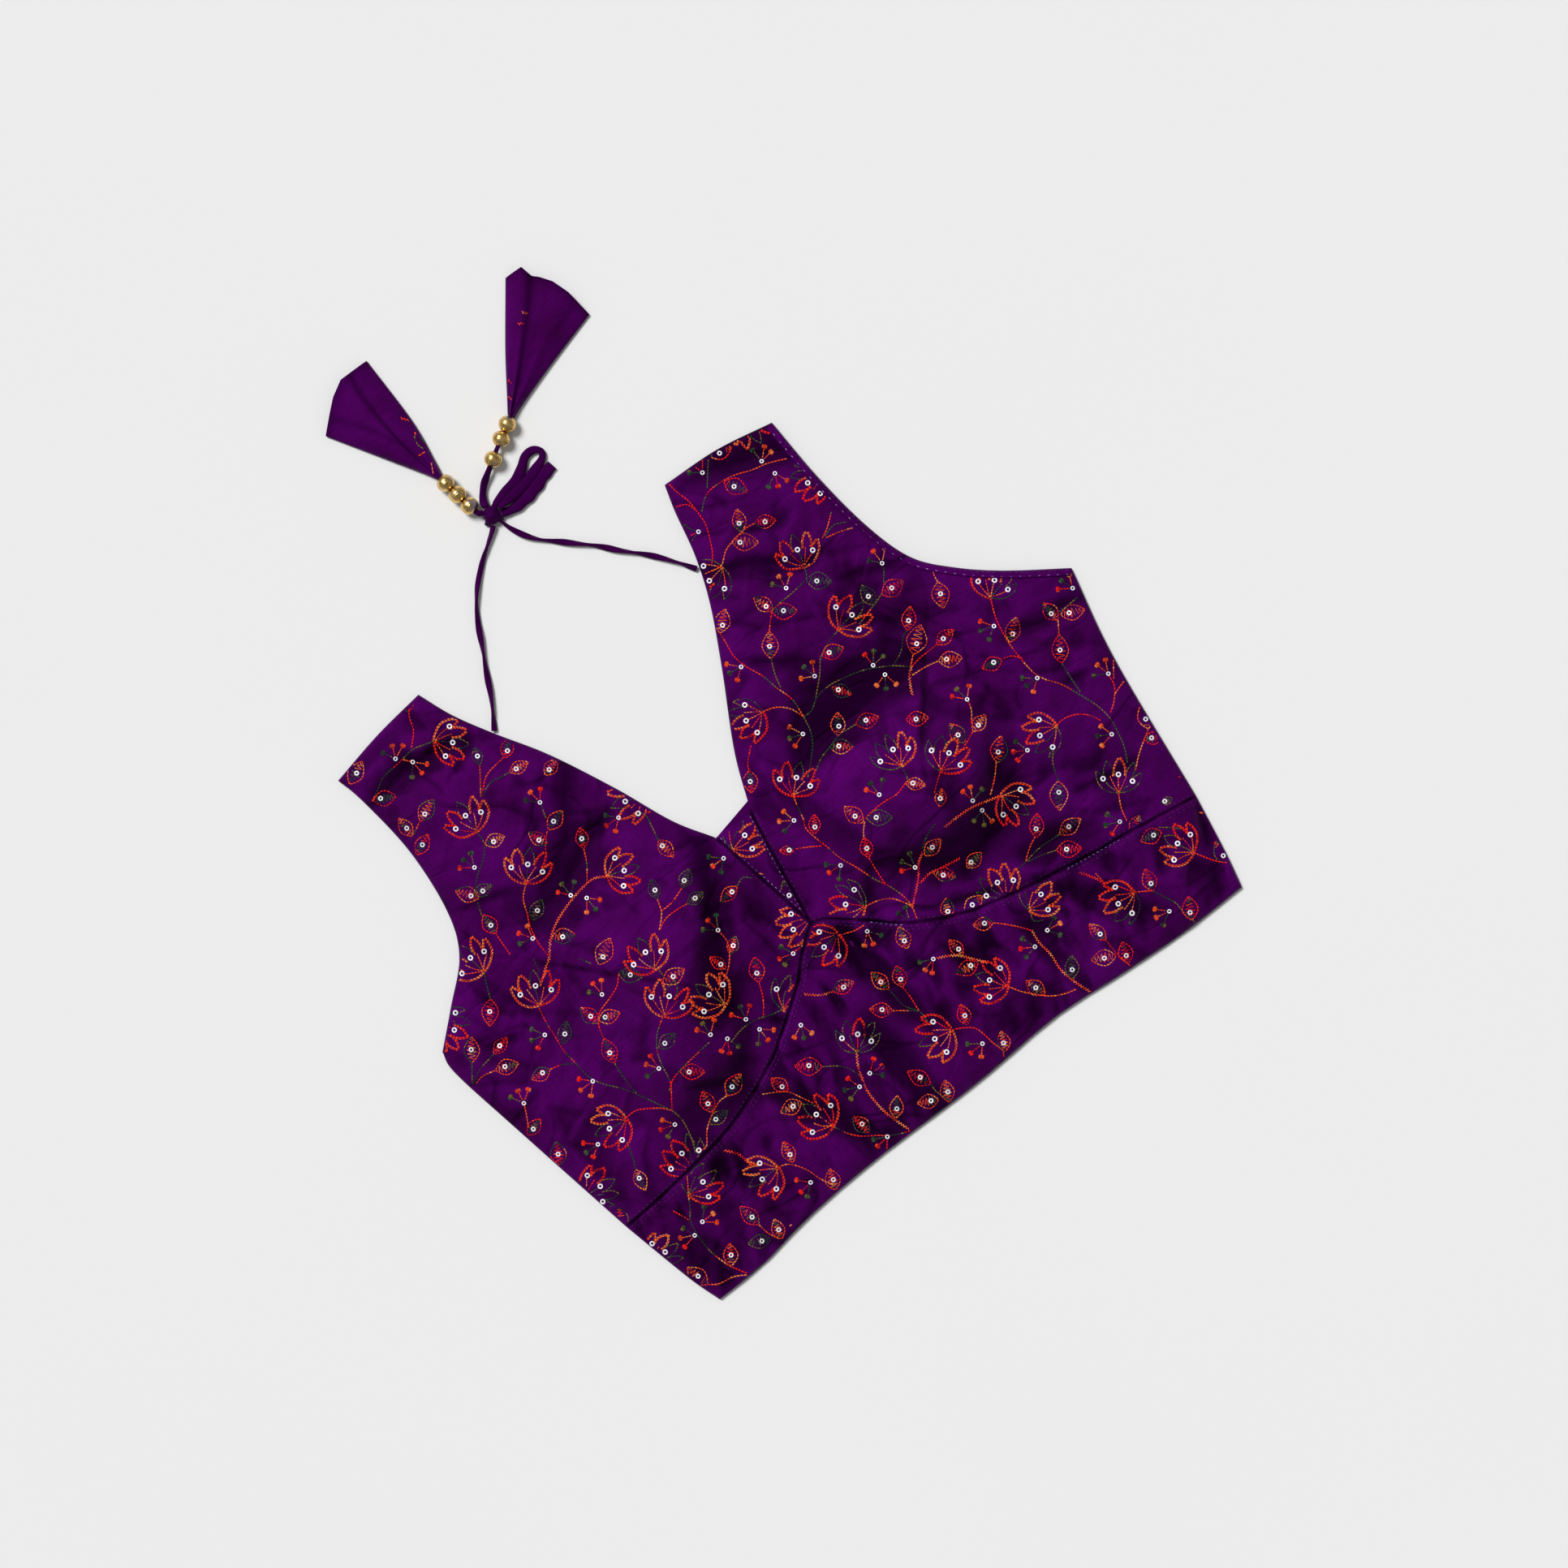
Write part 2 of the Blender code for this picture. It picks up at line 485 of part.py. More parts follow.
def build_knot(material):
    """The tied knot: a low rounded lump that the strings and tails come out of."""
    rings, segments = 7, 14
    vertices = [(KNOT_CENTRE.x, KNOT_CENTRE.y, KNOT_CENTRE.z - KNOT_HALF_HEIGHT)]
    for i in range(1, rings):
        polar = math.pi * i / rings
        for k in range(segments):
            angle = 2 * math.pi * k / segments
            vertices.append((KNOT_CENTRE.x + KNOT_HALF_WIDTH * math.sin(polar) * math.cos(angle),
                             KNOT_CENTRE.y + KNOT_HALF_LENGTH * math.sin(polar) * math.sin(angle),
                             KNOT_CENTRE.z - KNOT_HALF_HEIGHT * math.cos(polar)))
    vertices.append((KNOT_CENTRE.x, KNOT_CENTRE.y, KNOT_CENTRE.z + KNOT_HALF_HEIGHT))
    last = len(vertices) - 1
    faces = []
    for k in range(segments):
        following = (k + 1) % segments
        faces.append((0, 1 + following, 1 + k))
        faces.append((last, last - segments + k, last - segments + following))
        for i in range(rings - 2):
            a = 1 + i * segments
            faces.append((a + k, a + following, a + segments + following, a + segments + k))
    add_object("dori_knot", vertices, faces, material)


def build_bead(bead, material):
    """A turned metal bead with flat ends round its hole, standing on the table."""
    segments, rings = 12, 7
    radius = BEAD_DIAMETER * HALF
    half = BEAD_LENGTH * HALF
    size = math.hypot(bead.toward_x, bead.toward_y)
    along = np.array([bead.toward_x / size, bead.toward_y / size, 0.0])
    side = np.array([-along[1], along[0], 0.0])
    up = np.array([0.0, 0.0, 1.0])
    centre = np.array([bead.x, bead.y, radius])
    end_angle = math.asin(BEAD_HOLE_RIM / radius)
    vertices = []
    for i in range(rings):
        polar = end_angle + (math.pi - 2 * end_angle) * i / (rings - 1)
        reach = -half * math.cos(polar) / math.cos(end_angle)
        wide = radius * math.sin(polar)
        for k in range(segments):
            angle = 2 * math.pi * k / segments
            vertices.append(centre + along * reach + side * wide * math.cos(angle)
                            + up * wide * math.sin(angle))
    faces = [tuple(range(segments)), tuple(range((rings - 1) * segments, rings * segments))]
    for i in range(rings - 1):
        for k in range(segments):
            a = i * segments + k
            b = i * segments + (k + 1) % segments
            faces.append((a, b, b + segments, a + segments))
    add_object(bead.name, vertices, faces, material)


def tassel_plan(rows, mouth, across, up):
    left = smooth_curve([Point(row.left_x, row.left_y) for row in rows], up)
    right = smooth_curve([Point(row.right_x, row.right_y) for row in rows], up)
    neck = straight(left[0], right[0], across)
    return coons(neck, smooth_curve(mouth, across), left, right, across, up)


def build_tassel(name, rows, mouth, material):
    """A cone of folded cloth lying flat: an upper and a lower layer, open at the wide mouth."""
    across = spread(TASSEL_COLUMNS + 1, 0.6)
    up = spread(TASSEL_ROWS + 1)
    plan = tassel_plan(rows, mouth, across, up)
    ends = 2.0 * across - 1.0
    crown = np.sqrt(np.maximum(1.0 - ends ** 2, 0.0))
    rise = TASSEL_RISE * (0.75 + 0.25 * np.sin(np.pi * np.minimum(up * 1.2, 1.0)))
    upper = TASSEL_FOLD_EDGE + TASSEL_FOLD_RISE + rise[:, None] * crown[None]
    lower = np.repeat((TASSEL_FOLD_RISE * np.abs(ends) ** 5)[None], len(up), axis=0)

    start = 2
    width = np.linalg.norm(plan[:, -1] - plan[:, 0], axis=1)
    inner_plan = np.empty_like(plan)
    for i, row in enumerate(plan):
        inset = 1.5 * TASSEL_WALL / width[i]
        share = inset + (1.0 - 2.0 * inset) * across
        inner_plan[i] = np.stack([np.interp(share, across, row[:, k]) for k in range(2)], axis=1)
    inner_upper = np.empty_like(upper)
    inner_lower = np.empty_like(lower)
    for i in range(len(up)):
        inset = 1.5 * TASSEL_WALL / width[i]
        share = inset + (1.0 - 2.0 * inset) * across
        inner_upper[i] = np.interp(share, across, upper[i]) - TASSEL_WALL
        inner_lower[i] = np.interp(share, across, lower[i]) + TASSEL_WALL
    inner_upper = np.maximum(inner_upper, inner_lower + 0.12)

    vertices = []
    faces = []

    def ring(plan_row, top_row, bottom_row):
        first = len(vertices)
        for (x, y), z in zip(plan_row, top_row):
            vertices.append((x, y, z))
        for (x, y), z in zip(plan_row[::-1], bottom_row[::-1]):
            vertices.append((x, y, z))
        return list(range(first, len(vertices)))

    def bridge(a, b):
        for k in range(len(a)):
            following = (k + 1) % len(a)
            faces.append((a[k], a[following], b[following], b[k]))

    outer = [ring(plan[i], upper[i], lower[i]) for i in range(len(up))]
    inner = [ring(inner_plan[i], inner_upper[i], inner_lower[i]) for i in range(start, len(up))]
    for a, b in zip(outer, outer[1:]):
        bridge(a, b)
    for a, b in zip(inner, inner[1:]):
        bridge(b, a)
    bridge(outer[-1], inner[-1])
    faces.append(tuple(outer[0][::-1]))
    faces.append(tuple(inner[0]))
    add_object(name, vertices, faces, material)


def main():
    clear_scene()
    silk = make_material("purple_silk")
    facing = make_material("purple_facing")
    cord = make_material("purple_cord")
    gold = make_material("gold_bead")
    outline = outline_points(FRONT_EDGE_POINTS)

    build_back(silk)
    build_panels(outline, silk)
    build_facing(outline, facing)

    build_tube("dori_string_left", STRING_LEFT, STRING_DIAMETER, STRING_POINTS, cord)
    build_tube("dori_string_right", STRING_RIGHT, STRING_DIAMETER, STRING_POINTS, cord)
    build_tube("dori_tail_left", TAIL_LEFT, STRING_DIAMETER, 3, cord)
    build_tube("dori_tail_right", TAIL_RIGHT, TAIL_DIAMETER, TAIL_POINTS, cord)
    build_tube("dori_tail_link", TAIL_RIGHT_LINK, STRING_DIAMETER, 3, cord)
    build_tube("dori_bow_loop", BOW_LOOP, STRING_DIAMETER, BOW_POINTS, cord)
    build_tab(cord)
    build_knot(cord)
    for bead in BEADS:
        build_bead(bead, gold)
    build_tassel("tassel_left", TASSEL_LEFT_ROWS, TASSEL_LEFT_MOUTH, silk)
    build_tassel("tassel_right", TASSEL_RIGHT_ROWS, TASSEL_RIGHT_MOUTH, silk)


main()
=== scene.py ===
"""Looks of the choli blouse: thin silk panels with their folds, seams and stitching, hand-charted
flower embroidery with ring sequins, twisted strings with a knot and bow, metal beads, cloth tassels.

Plan sizes are in millimetres from the middle of the hem, as in the part: +X runs along the hem
towards the wearer's left, +Y to the shoulders, +Z up. place() turns them into metres in its frame.
"""
import math
from collections import namedtuple

import bmesh
import bpy
import numpy as np
from mathutils import Matrix, Vector


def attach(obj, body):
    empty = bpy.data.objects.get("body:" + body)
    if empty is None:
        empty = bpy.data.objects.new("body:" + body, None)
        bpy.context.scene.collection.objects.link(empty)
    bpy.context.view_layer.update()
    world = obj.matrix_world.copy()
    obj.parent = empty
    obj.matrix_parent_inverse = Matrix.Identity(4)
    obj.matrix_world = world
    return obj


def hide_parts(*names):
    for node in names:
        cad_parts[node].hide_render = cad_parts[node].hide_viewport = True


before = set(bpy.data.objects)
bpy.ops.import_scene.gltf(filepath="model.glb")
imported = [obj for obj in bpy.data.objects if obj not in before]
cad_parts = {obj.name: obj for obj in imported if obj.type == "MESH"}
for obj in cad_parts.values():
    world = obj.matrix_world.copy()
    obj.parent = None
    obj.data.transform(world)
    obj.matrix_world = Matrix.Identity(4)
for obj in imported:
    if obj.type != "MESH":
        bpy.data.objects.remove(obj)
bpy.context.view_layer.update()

MM = 0.001
HALF = 0.5
SEED = 11

# The part's own sizes, repeated from its source
CENTRE_X = -1.62
CENTRE_Y = 195.26
BACK_WALL = 1.4
FRONT_WALL = 1.6
SEAM_GAP = 0.32
FACING_WIDTH = 4.6
FACING_TOP = 1.15
FRONT_BASE = BACK_WALL + SEAM_GAP + FRONT_WALL
LOFT = 4.6
LOFT_REACH = 11.0
EDGE_REACH = 16.0

Point = namedtuple("Point", "x y")
Dome = namedtuple("Dome", "x y across along turn rise")
Fold = namedtuple("Fold", "x0 y0 x1 y1 half_width rise")
RoutePoint = namedtuple("RoutePoint", "x y z")

# Plan outline of the front, each edge as the points that its shape needs
HEM = [Point(-193, 0.6), Point(-160, 1.0), Point(-122, 6.0), Point(-70, 8.0), Point(0, 6.4),
       Point(60, 8.4), Point(103, 4.4), Point(150, 0.6), Point(192, 0.6)]
SIDE_LEFT_LOW = [Point(-193, 0.6), Point(-199.5, 22), Point(-209.4, 67)]
SIDE_LEFT_HIGH = [Point(-209.4, 67), Point(-224, 150), Point(-232, 198), Point(-230.2, 212.4)]
SIDE_RIGHT_LOW = [Point(192, 0.6), Point(197, 22), Point(203.8, 58.5)]
SIDE_RIGHT_HIGH = [Point(203.8, 58.5), Point(216, 150), Point(229, 206.6)]
ARMHOLE_LEFT = [Point(-230.2, 212.4), Point(-210, 230), Point(-188, 250), Point(-177.5, 275),
                Point(-173.2, 315), Point(-176.5, 355), Point(-180.3, 373)]
ARMHOLE_RIGHT = [Point(229, 206.6), Point(197, 230), Point(175, 250), Point(159.5, 270),
                 Point(151, 300), Point(146.4, 340), Point(145.1, 380.1)]
STRAP_TOP_LEFT = [Point(-180.3, 373), Point(-146, 379.6), Point(-113, 383.3)]
STRAP_TOP_RIGHT = [Point(74, 390.2), Point(110, 387.6), Point(145.1, 380.1)]
NECK_LEFT = [Point(-29.2, 211.7), Point(-43, 235), Point(-57, 270), Point(-75, 309),
             Point(-92.7, 339), Point(-105, 362), Point(-113, 383.3)]
NECK_RIGHT = [Point(-4, 211), Point(10, 244), Point(34, 286), Point(52, 320), Point(62.4, 347),
              Point(69, 374), Point(74, 390.2)]

# Seams between the panels
GUSSET_TIP = Point(-16.3, 138.6)
SEAM_LEFT = [Point(-209.4, 67), Point(-165, 70), Point(-122, 76.7), Point(-84, 91), Point(-50, 112),
             Point(-28, 131), GUSSET_TIP]
SEAM_RIGHT = [GUSSET_TIP, Point(-7, 134.6), Point(10, 120), Point(30, 102.5), Point(62.4, 86.6),
              Point(112.4, 74.1), Point(165, 65.3), Point(203.8, 58.5)]
GUSSET_LEFT = [GUSSET_TIP, Point(-22.4, 173), Point(-29.2, 211.7)]
GUSSET_RIGHT = [GUSSET_TIP, Point(-10.8, 173), Point(-4, 211)]
GUSSET_START = 0.08
TIP_SHARE = 0.463

# Padded cups: the middle, the half sizes across and along, the turn in degrees, the height
DOMES = [
    Dome(84, 158, 64, 54, 0, 19.5),
    Dome(84, 158, 36, 30, 0, 3.0),
    Dome(-100, 160, 58, 78, -16, 18.0),
    Dome(-88, 148, 30, 34, 0, 3.0),
    Dome(-140, 120, 70, 60, 0, 4.0),
    Dome(150, 120, 60, 58, 0, 3.6),
]

CUP_SPREAD = 1.3
CUP_POWER = 2.4

# Largest folds, as in the part: a soft ridge where the rise is positive, a trough where negative
FOLDS = [
    Fold(38, 214, 62, 229, 11, -4.2), Fold(62, 229, 92, 233, 12, -4.8), Fold(92, 233, 122, 218, 11, -4.0),
    Fold(18, 184, 34, 140, 8, -2.4), Fold(34, 140, 74, 106, 8, -2.8), Fold(74, 106, 122, 118, 8, -2.4),
    Fold(122, 118, 146, 160, 9, -1.6), Fold(54, 190, 100, 196, 6, 1.4),
    Fold(-40, 214, -58, 168, 10, -2.6), Fold(-58, 168, -80, 128, 9, -3.0),
    Fold(-140, 238, -84, 258, 9, -2.8), Fold(-106, 256, -70, 298, 7, -2.2),
    Fold(-136, 262, -96, 292, 8, 1.6), Fold(-150, 96, -96, 100, 9, -2.4),
    Fold(-164, 352, -116, 347, 8, -2.8), Fold(-172, 330, -132, 322, 10, 1.2),
    Fold(84, 383, 138, 362, 9, -3.0), Fold(62, 334, 112, 303, 8, -2.4), Fold(44, 284, 78, 256, 5, -1.6),
    Fold(90, 290, 140, 262, 12, 1.8), Fold(124, 244, 160, 232, 8, -1.8), Fold(174, 197, 222, 192, 7, -2.2),
    Fold(150, 150, 200, 120, 12, 1.6), Fold(104, 94, 146, 80, 8, -2.6), Fold(150, 92, 196, 84, 7, 1.6),
    Fold(-206, 128, -168, 148, 14, 1.4), Fold(-24, 200, -20, 152, 5, -1.4),
    Fold(-146, 62, -168, 10, 7, -2.2), Fold(-122, 64, -118, 14, 8, 1.2), Fold(-92, 74, -62, 14, 7, -3.0),
    Fold(-52, 92, -40, 22, 9, 1.6), Fold(-22, 74, -25, 14, 10, -3.2), Fold(-8, 124, 2, 50, 7, -2.6),
    Fold(18, 96, 26, 20, 9, 2.0), Fold(50, 78, 52, 24, 8, -1.6), Fold(80, 70, 84, 12, 7, -2.2),
    Fold(112, 62, 146, 14, 8, -2.6), Fold(170, 54, 162, 12, 9, 1.4),
]

# Soft hollows round the cups, on the straps and in the band: troughs whose depth also darkens the silk's
# colour there as painted shade
HOLLOWS = [
    Fold(56, 228, 112, 227, 17, -4.6), Fold(60, 214, 112, 212, 9, -1.6), Fold(20, 196, 40, 146, 6, -2.4),
    Fold(44, 138, 70, 120, 12, -3.0), Fold(70, 118, 104, 116, 14, -3.8), Fold(104, 120, 128, 142, 12, -3.0),
    Fold(128, 142, 138, 172, 8, -1.8), Fold(84, 130, 120, 140, 12, -1.6), Fold(-36, 212, -52, 182, 9, -2.6),
    Fold(-52, 182, -72, 156, 11, -3.2), Fold(-72, 156, -98, 140, 11, -3.4), Fold(-98, 128, -64, 134, 8, -1.6),
    Fold(-136, 236, -90, 242, 16, -2.6), Fold(-118, 252, -78, 262, 9, -1.6),
    Fold(-92, 264, -68, 304, 9, -2.4),
    Fold(-130, 262, -104, 296, 6, -1.2), Fold(-178, 353, -126, 350, 6, -2.2),
    Fold(-126, 350, -100, 340, 6, -2.6),
    Fold(-178, 369, -124, 377, 7, -2.0), Fold(100, 388, 142, 372, 11, -4.6),
    Fold(118, 380, 142, 362, 11, -4.0),
    Fold(60, 336, 112, 304, 5, -2.4), Fold(112, 304, 142, 292, 4, -1.4), Fold(44, 300, 74, 299, 4, -1.4),
    Fold(52, 276, 80, 252, 4, -1.4), Fold(118, 240, 166, 262, 12, -2.0), Fold(176, 195, 228, 190, 3, -2.4),
    Fold(-192, 44, -180, 14, 13, -3.4), Fold(-172, 54, -158, 40, 8, -2.0), Fold(-146, 60, -134, 18, 5, -2.4),
    Fold(-115, 50, -119, 14, 4, -2.6), Fold(-96, 74, -80, 50, 7, -2.6), Fold(-84, 54, -56, 12, 7, -3.8),
    Fold(-52, 50, -44, 14, 4, -2.0), Fold(-28, 66, -24, 10, 7, -3.8), Fold(-6, 122, -3, 60, 8, -3.2),
    Fold(12, 112, 12, 36, 5, -2.4), Fold(34, 60, 30, 16, 4, -1.8), Fold(58, 66, 62, 44, 4, -2.0),
    Fold(80, 62, 84, 12, 5, -2.6), Fold(116, 62, 122, 34, 4, -2.0), Fold(112, 24, 122, 8, 7, -3.4),
    Fold(128, 50, 142, 22, 7, -2.6), Fold(150, 30, 156, 8, 4, -1.8), Fold(166, 58, 186, 38, 6, -2.4),
    Fold(-166, 82, -140, 76, 7, -2.8), Fold(-144, 84, -102, 84, 9, -2.6), Fold(-102, 90, -84, 112, 9, -2.6),
    Fold(106, 92, 138, 84, 7, -3.0), Fold(168, 92, 188, 88, 4, -1.8), Fold(36, 100, 100, 78, 4, -1.6),
    Fold(100, 78, 168, 66, 4, -1.8), Fold(-44, 134, -30, 122, 6, -1.6), Fold(-10, 196, -12, 150, 4, -1.6),
    Fold(-34, 196, -38, 156, 5, -1.4), Fold(14, 132, 34, 122, 6, -1.8), Fold(150, 178, 166, 150, 4, -1.4),
    Fold(186, 182, 214, 160, 4, -1.4), Fold(190, 130, 210, 116, 4, -1.4), Fold(-176, 120, -164, 112, 7, -1.2),
    Fold(-220, 200, -190, 206, 4, -1.2), Fold(-226, 150, -200, 158, 4, -1.0),
    Fold(-160, 200, -120, 196, 4, -0.9),
]
HOLLOW_WANDER = 4.0

# Finer creases that only the cloth has: short gathers at the seams, darts and handling creases
CREASES = [
    Fold(-186.3, 252.5, -87, 147.7, 1.5, -0.55), Fold(159.4, 255.6, 85.5, 163.6, 1.5, -0.55),
    Fold(-168, 268, -140, 262, 2.6, -0.6), Fold(-120, 244, -66, 262, 2.4, -0.7),
    Fold(-150, 300, -104, 316, 3.0, 0.5), Fold(-128, 330, -100, 352, 3.0, -0.6),
    Fold(-176, 300, -150, 296, 2.4, 0.45), Fold(-160, 222, -118, 214, 4.0, 0.5),
    Fold(-210, 196, -182, 190, 3.0, -0.6), Fold(-214, 160, -180, 168, 3.5, 0.5),
    Fold(-130, 108, -104, 92, 3.0, -0.7), Fold(-112, 118, -88, 100, 2.6, 0.6),
    Fold(-76, 116, -62, 104, 2.4, -0.6), Fold(-60, 136, -44, 122, 2.4, 0.6),
    Fold(-66, 180, -44, 176, 3.0, -0.5), Fold(-72, 220, -48, 216, 3.0, 0.5),
    Fold(44, 284, 76, 256, 2.2, -0.6), Fold(60, 268, 96, 246, 2.6, 0.5),
    Fold(100, 268, 132, 246, 3.0, -0.6), Fold(80, 312, 124, 296, 3.0, 0.6),
    Fold(88, 342, 118, 330, 3.0, -0.6), Fold(104, 372, 140, 352, 3.0, 0.6),
    Fold(118, 286, 150, 270, 2.6, -0.5), Fold(164, 226, 196, 214, 3.0, 0.5),
    Fold(168, 188, 214, 180, 3.0, 0.6), Fold(180, 160, 212, 150, 3.0, -0.6),
    Fold(148, 104, 190, 98, 2.6, -0.6), Fold(120, 86, 166, 74, 2.4, 0.6),
    Fold(58, 96, 84, 86, 2.6, -0.6), Fold(34, 112, 52, 100, 2.4, 0.6),
    Fold(-176, 64, -182, 40, 2.4, -0.6), Fold(-132, 72, -140, 44, 2.2, -0.6),
    Fold(-104, 78, -104, 50, 2.2, 0.6), Fold(-70, 94, -60, 62, 2.2, -0.6),
    Fold(-36, 118, -34, 84, 2.2, -0.7), Fold(-2, 120, 8, 84, 2.2, 0.7),
    Fold(36, 92, 40, 62, 2.2, -0.6), Fold(64, 82, 66, 54, 2.2, 0.6), Fold(96, 74, 104, 48, 2.2, -0.6),
    Fold(130, 68, 138, 44, 2.2, 0.5), Fold(156, 62, 158, 38, 2.2, -0.5), Fold(184, 56, 184, 34, 2.2, 0.5),
]

# Handling creases all over: direction in degrees, spacing, height, seed
WRINKLES = [(20, 15.0, 1.0, 71), (-35, 13.0, -1.0, 72), (75, 17.0, 0.9, 73), (-75, 11.0, -0.8, 74),
            (48, 8.0, 0.5, 75)]

# Painted shade: how much darker the silk's colour is made in a trough, and the depth at which that is well on
# its way
SHADE_DEPTH = 0.93
SHADE_REACH = 2.7

CREASE_GAIN = 2.2

# Height of the gathers that run down the band from the bust seam
GATHER_RISE = 2.1

# Height of the cloth as a grid of values over the plan
FIELD_X = -237.0
FIELD_Y = -4.0
FIELD_STEP = 0.5
FIELD_COLUMNS = 944
FIELD_ROWS = 802

# The thin cloth: its wall, the roundness of its turned edges, its spacing of grid lines
CLOTH_WALL = 0.95
INNER_FLOOR = 1.72
TURN_RADIUS = 1.5
GRID_STEP = 1.6
EDGE_STEPS = [0.12, 0.35, 0.75, 1.3, 2.1, 3.3]

# Routes of the tied strings, from the neck edge to the knot and from the knot to the tassels
STRING_LEFT = [
    RoutePoint(-91.6, 339.5, 1.8), RoutePoint(-89.4, 342.6, 1.8), RoutePoint(-85.8, 348.0, 1.8),
    RoutePoint(-80.2, 357.4, 1.8), RoutePoint(-74.4, 368.4, 1.8), RoutePoint(-67.4, 381.2, 1.8),
    RoutePoint(-59.5, 395.6, 1.8), RoutePoint(-50.0, 408.6, 1.8), RoutePoint(-39.1, 418.4, 1.8),
    RoutePoint(-29.2, 425.6, 1.8), RoutePoint(-21.8, 430.4, 2.3), RoutePoint(-18.4, 433.1, 3.0)]
STRING_RIGHT = [
    RoutePoint(58.6, 340.5, 1.8), RoutePoint(56.6, 343.4, 1.8), RoutePoint(52.2, 350.2, 1.8),
    RoutePoint(45.4, 359.6, 1.8), RoutePoint(37.8, 368.4, 1.8), RoutePoint(29.8, 377.0, 1.8),
    RoutePoint(21.6, 386.6, 1.8), RoutePoint(9.6, 398.6, 1.8), RoutePoint(-1.6, 409.6, 1.8),
    RoutePoint(-7.6, 417.6, 1.8), RoutePoint(-11.4, 425.6, 2.3), RoutePoint(-13.4, 432.5, 3.0)]
TAIL_LEFT = [
    RoutePoint(-19.9, 442.5, 4.5), RoutePoint(-20.6, 443.9, 4.9), RoutePoint(-21.1, 445.2, 5.1),
    RoutePoint(-22.0, 450.4, 5.25), RoutePoint(-23.4, 459.8, 5.25), RoutePoint(-24.7, 469.2, 5.0),
    RoutePoint(-25.4, 474.6, 4.2), RoutePoint(-26.2, 478.4, 3.6)]
TAIL_RIGHT = [
    RoutePoint(-15.0, 444.15, 3.4), RoutePoint(-14.2, 447.4, 2.6), RoutePoint(-11.6, 451.4, 2.4),
    RoutePoint(-7.6, 455.2, 3.0), RoutePoint(-3.0, 458.1, 4.4), RoutePoint(0.85, 460.3, 5.1),
    RoutePoint(5.4, 462.9, 5.25), RoutePoint(10.8, 466.2, 5.25), RoutePoint(16.3, 469.2, 5.25),
    RoutePoint(24.4, 473.8, 5.0), RoutePoint(28.8, 476.3, 4.2), RoutePoint(32.2, 478.6, 3.6)]
BOW_LOOP = [
    RoutePoint(-10.25, 441.9, 3.6), RoutePoint(-4.8, 443.2, 2.9), RoutePoint(0.5, 444.6, 2.2),
    RoutePoint(9.0, 445.8, 1.9), RoutePoint(15.0, 449.0, 1.8), RoutePoint(20.5, 453.0, 1.8),
    RoutePoint(26.3, 453.4, 1.8), RoutePoint(30.0, 450.2, 1.8), RoutePoint(28.2, 446.4, 1.8),
    RoutePoint(21.5, 443.7, 1.8), RoutePoint(13.0, 441.2, 1.9), RoutePoint(3.0, 439.8, 2.8),
    RoutePoint(-4.0, 439.1, 4.4), RoutePoint(-9.4, 438.6, 5.3)]
BOW_TAB = [
    RoutePoint(-10.4, 435.6, 2.6), RoutePoint(-2.0, 433.4, 2.2), RoutePoint(8.0, 433.9, 1.8),
    RoutePoint(16.0, 435.9, 1.6), RoutePoint(23.0, 438.3, 1.5), RoutePoint(30.2, 439.5, 1.5)]
STRING_WIDTH = 3.5
STRING_THICKNESS = 2.0
KNOT_CENTRE = RoutePoint(-15.2, 438.2, 3.6)
KNOT_WRAPS = [
    [RoutePoint(-20.8, 435.4, 1.6), RoutePoint(-19.0, 436.6, 5.0), RoutePoint(-15.2, 438.6, 7.0),
     RoutePoint(-11.4, 440.8, 5.2), RoutePoint(-9.6, 442.2, 1.9)],
    [RoutePoint(-19.4, 443.2, 1.7), RoutePoint(-17.8, 441.4, 5.2), RoutePoint(-15.2, 438.0, 7.5),
     RoutePoint(-13.2, 434.4, 5.0), RoutePoint(-12.4, 432.4, 1.7)]]

Bead = namedtuple("Bead", "name x y toward_x toward_y")
BEADS = [
    Bead("bead_left_1", -24.7, 469.2, -1.3, 9.3), Bead("bead_left_2", -23.4, 459.8, -1.3, 9.3),
    Bead("bead_left_3", -22.0, 450.4, -1.4, 9.3), Bead("bead_right_1", 24.4, 473.8, 8.7, 4.9),
    Bead("bead_right_2", 16.3, 469.2, 8.7, 4.9), Bead("bead_right_3", 5.4, 462.9, 8.6, 5.2),
]
BEAD_DIAMETER = 10.5
BEAD_LENGTH = 9.0

TasselRow = namedtuple("TasselRow", "left_x left_y right_x right_y")
TASSEL_LEFT_ROWS = [
    TasselRow(-27.4, 474.1, -23.4, 474.2), TasselRow(-31.6, 482.0, -21.6, 483.4),
    TasselRow(-45.4, 505.2, -17.6, 510.0), TasselRow(-62.4, 533.8, -16.8, 553.4)]
TASSEL_LEFT_MOUTH = [Point(-62.4, 533.8), Point(-45.0, 548.4), Point(-35.3, 553.6), Point(-16.8, 553.4)]
TASSEL_RIGHT_ROWS = [
    TasselRow(27.8, 478.2, 29.8, 474.5), TasselRow(34.2, 487.0, 40.0, 478.1),
    TasselRow(50.6, 509.4, 66.0, 485.6), TasselRow(75.9, 541.2, 101.0, 494.6)]
TASSEL_RIGHT_MOUTH = [Point(75.9, 541.2), Point(87.1, 540.3), Point(88.4, 532.6), Point(91.6, 529.4),
                      Point(96.2, 522.4), Point(99.4, 512.0), Point(101.0, 494.6)]
# Pleats of each tassel: share across at its neck and at its mouth, and height, which also sets how dark the
# painted shade beside it is
Pleat = namedtuple("Pleat", "neck mouth rise")
TASSEL_PLEATS = [[Pleat(0.30, 0.72, 0.7), Pleat(0.62, 0.20, -0.35)],
                 [Pleat(0.46, 0.27, 1.1), Pleat(0.70, 0.80, -0.35)]]
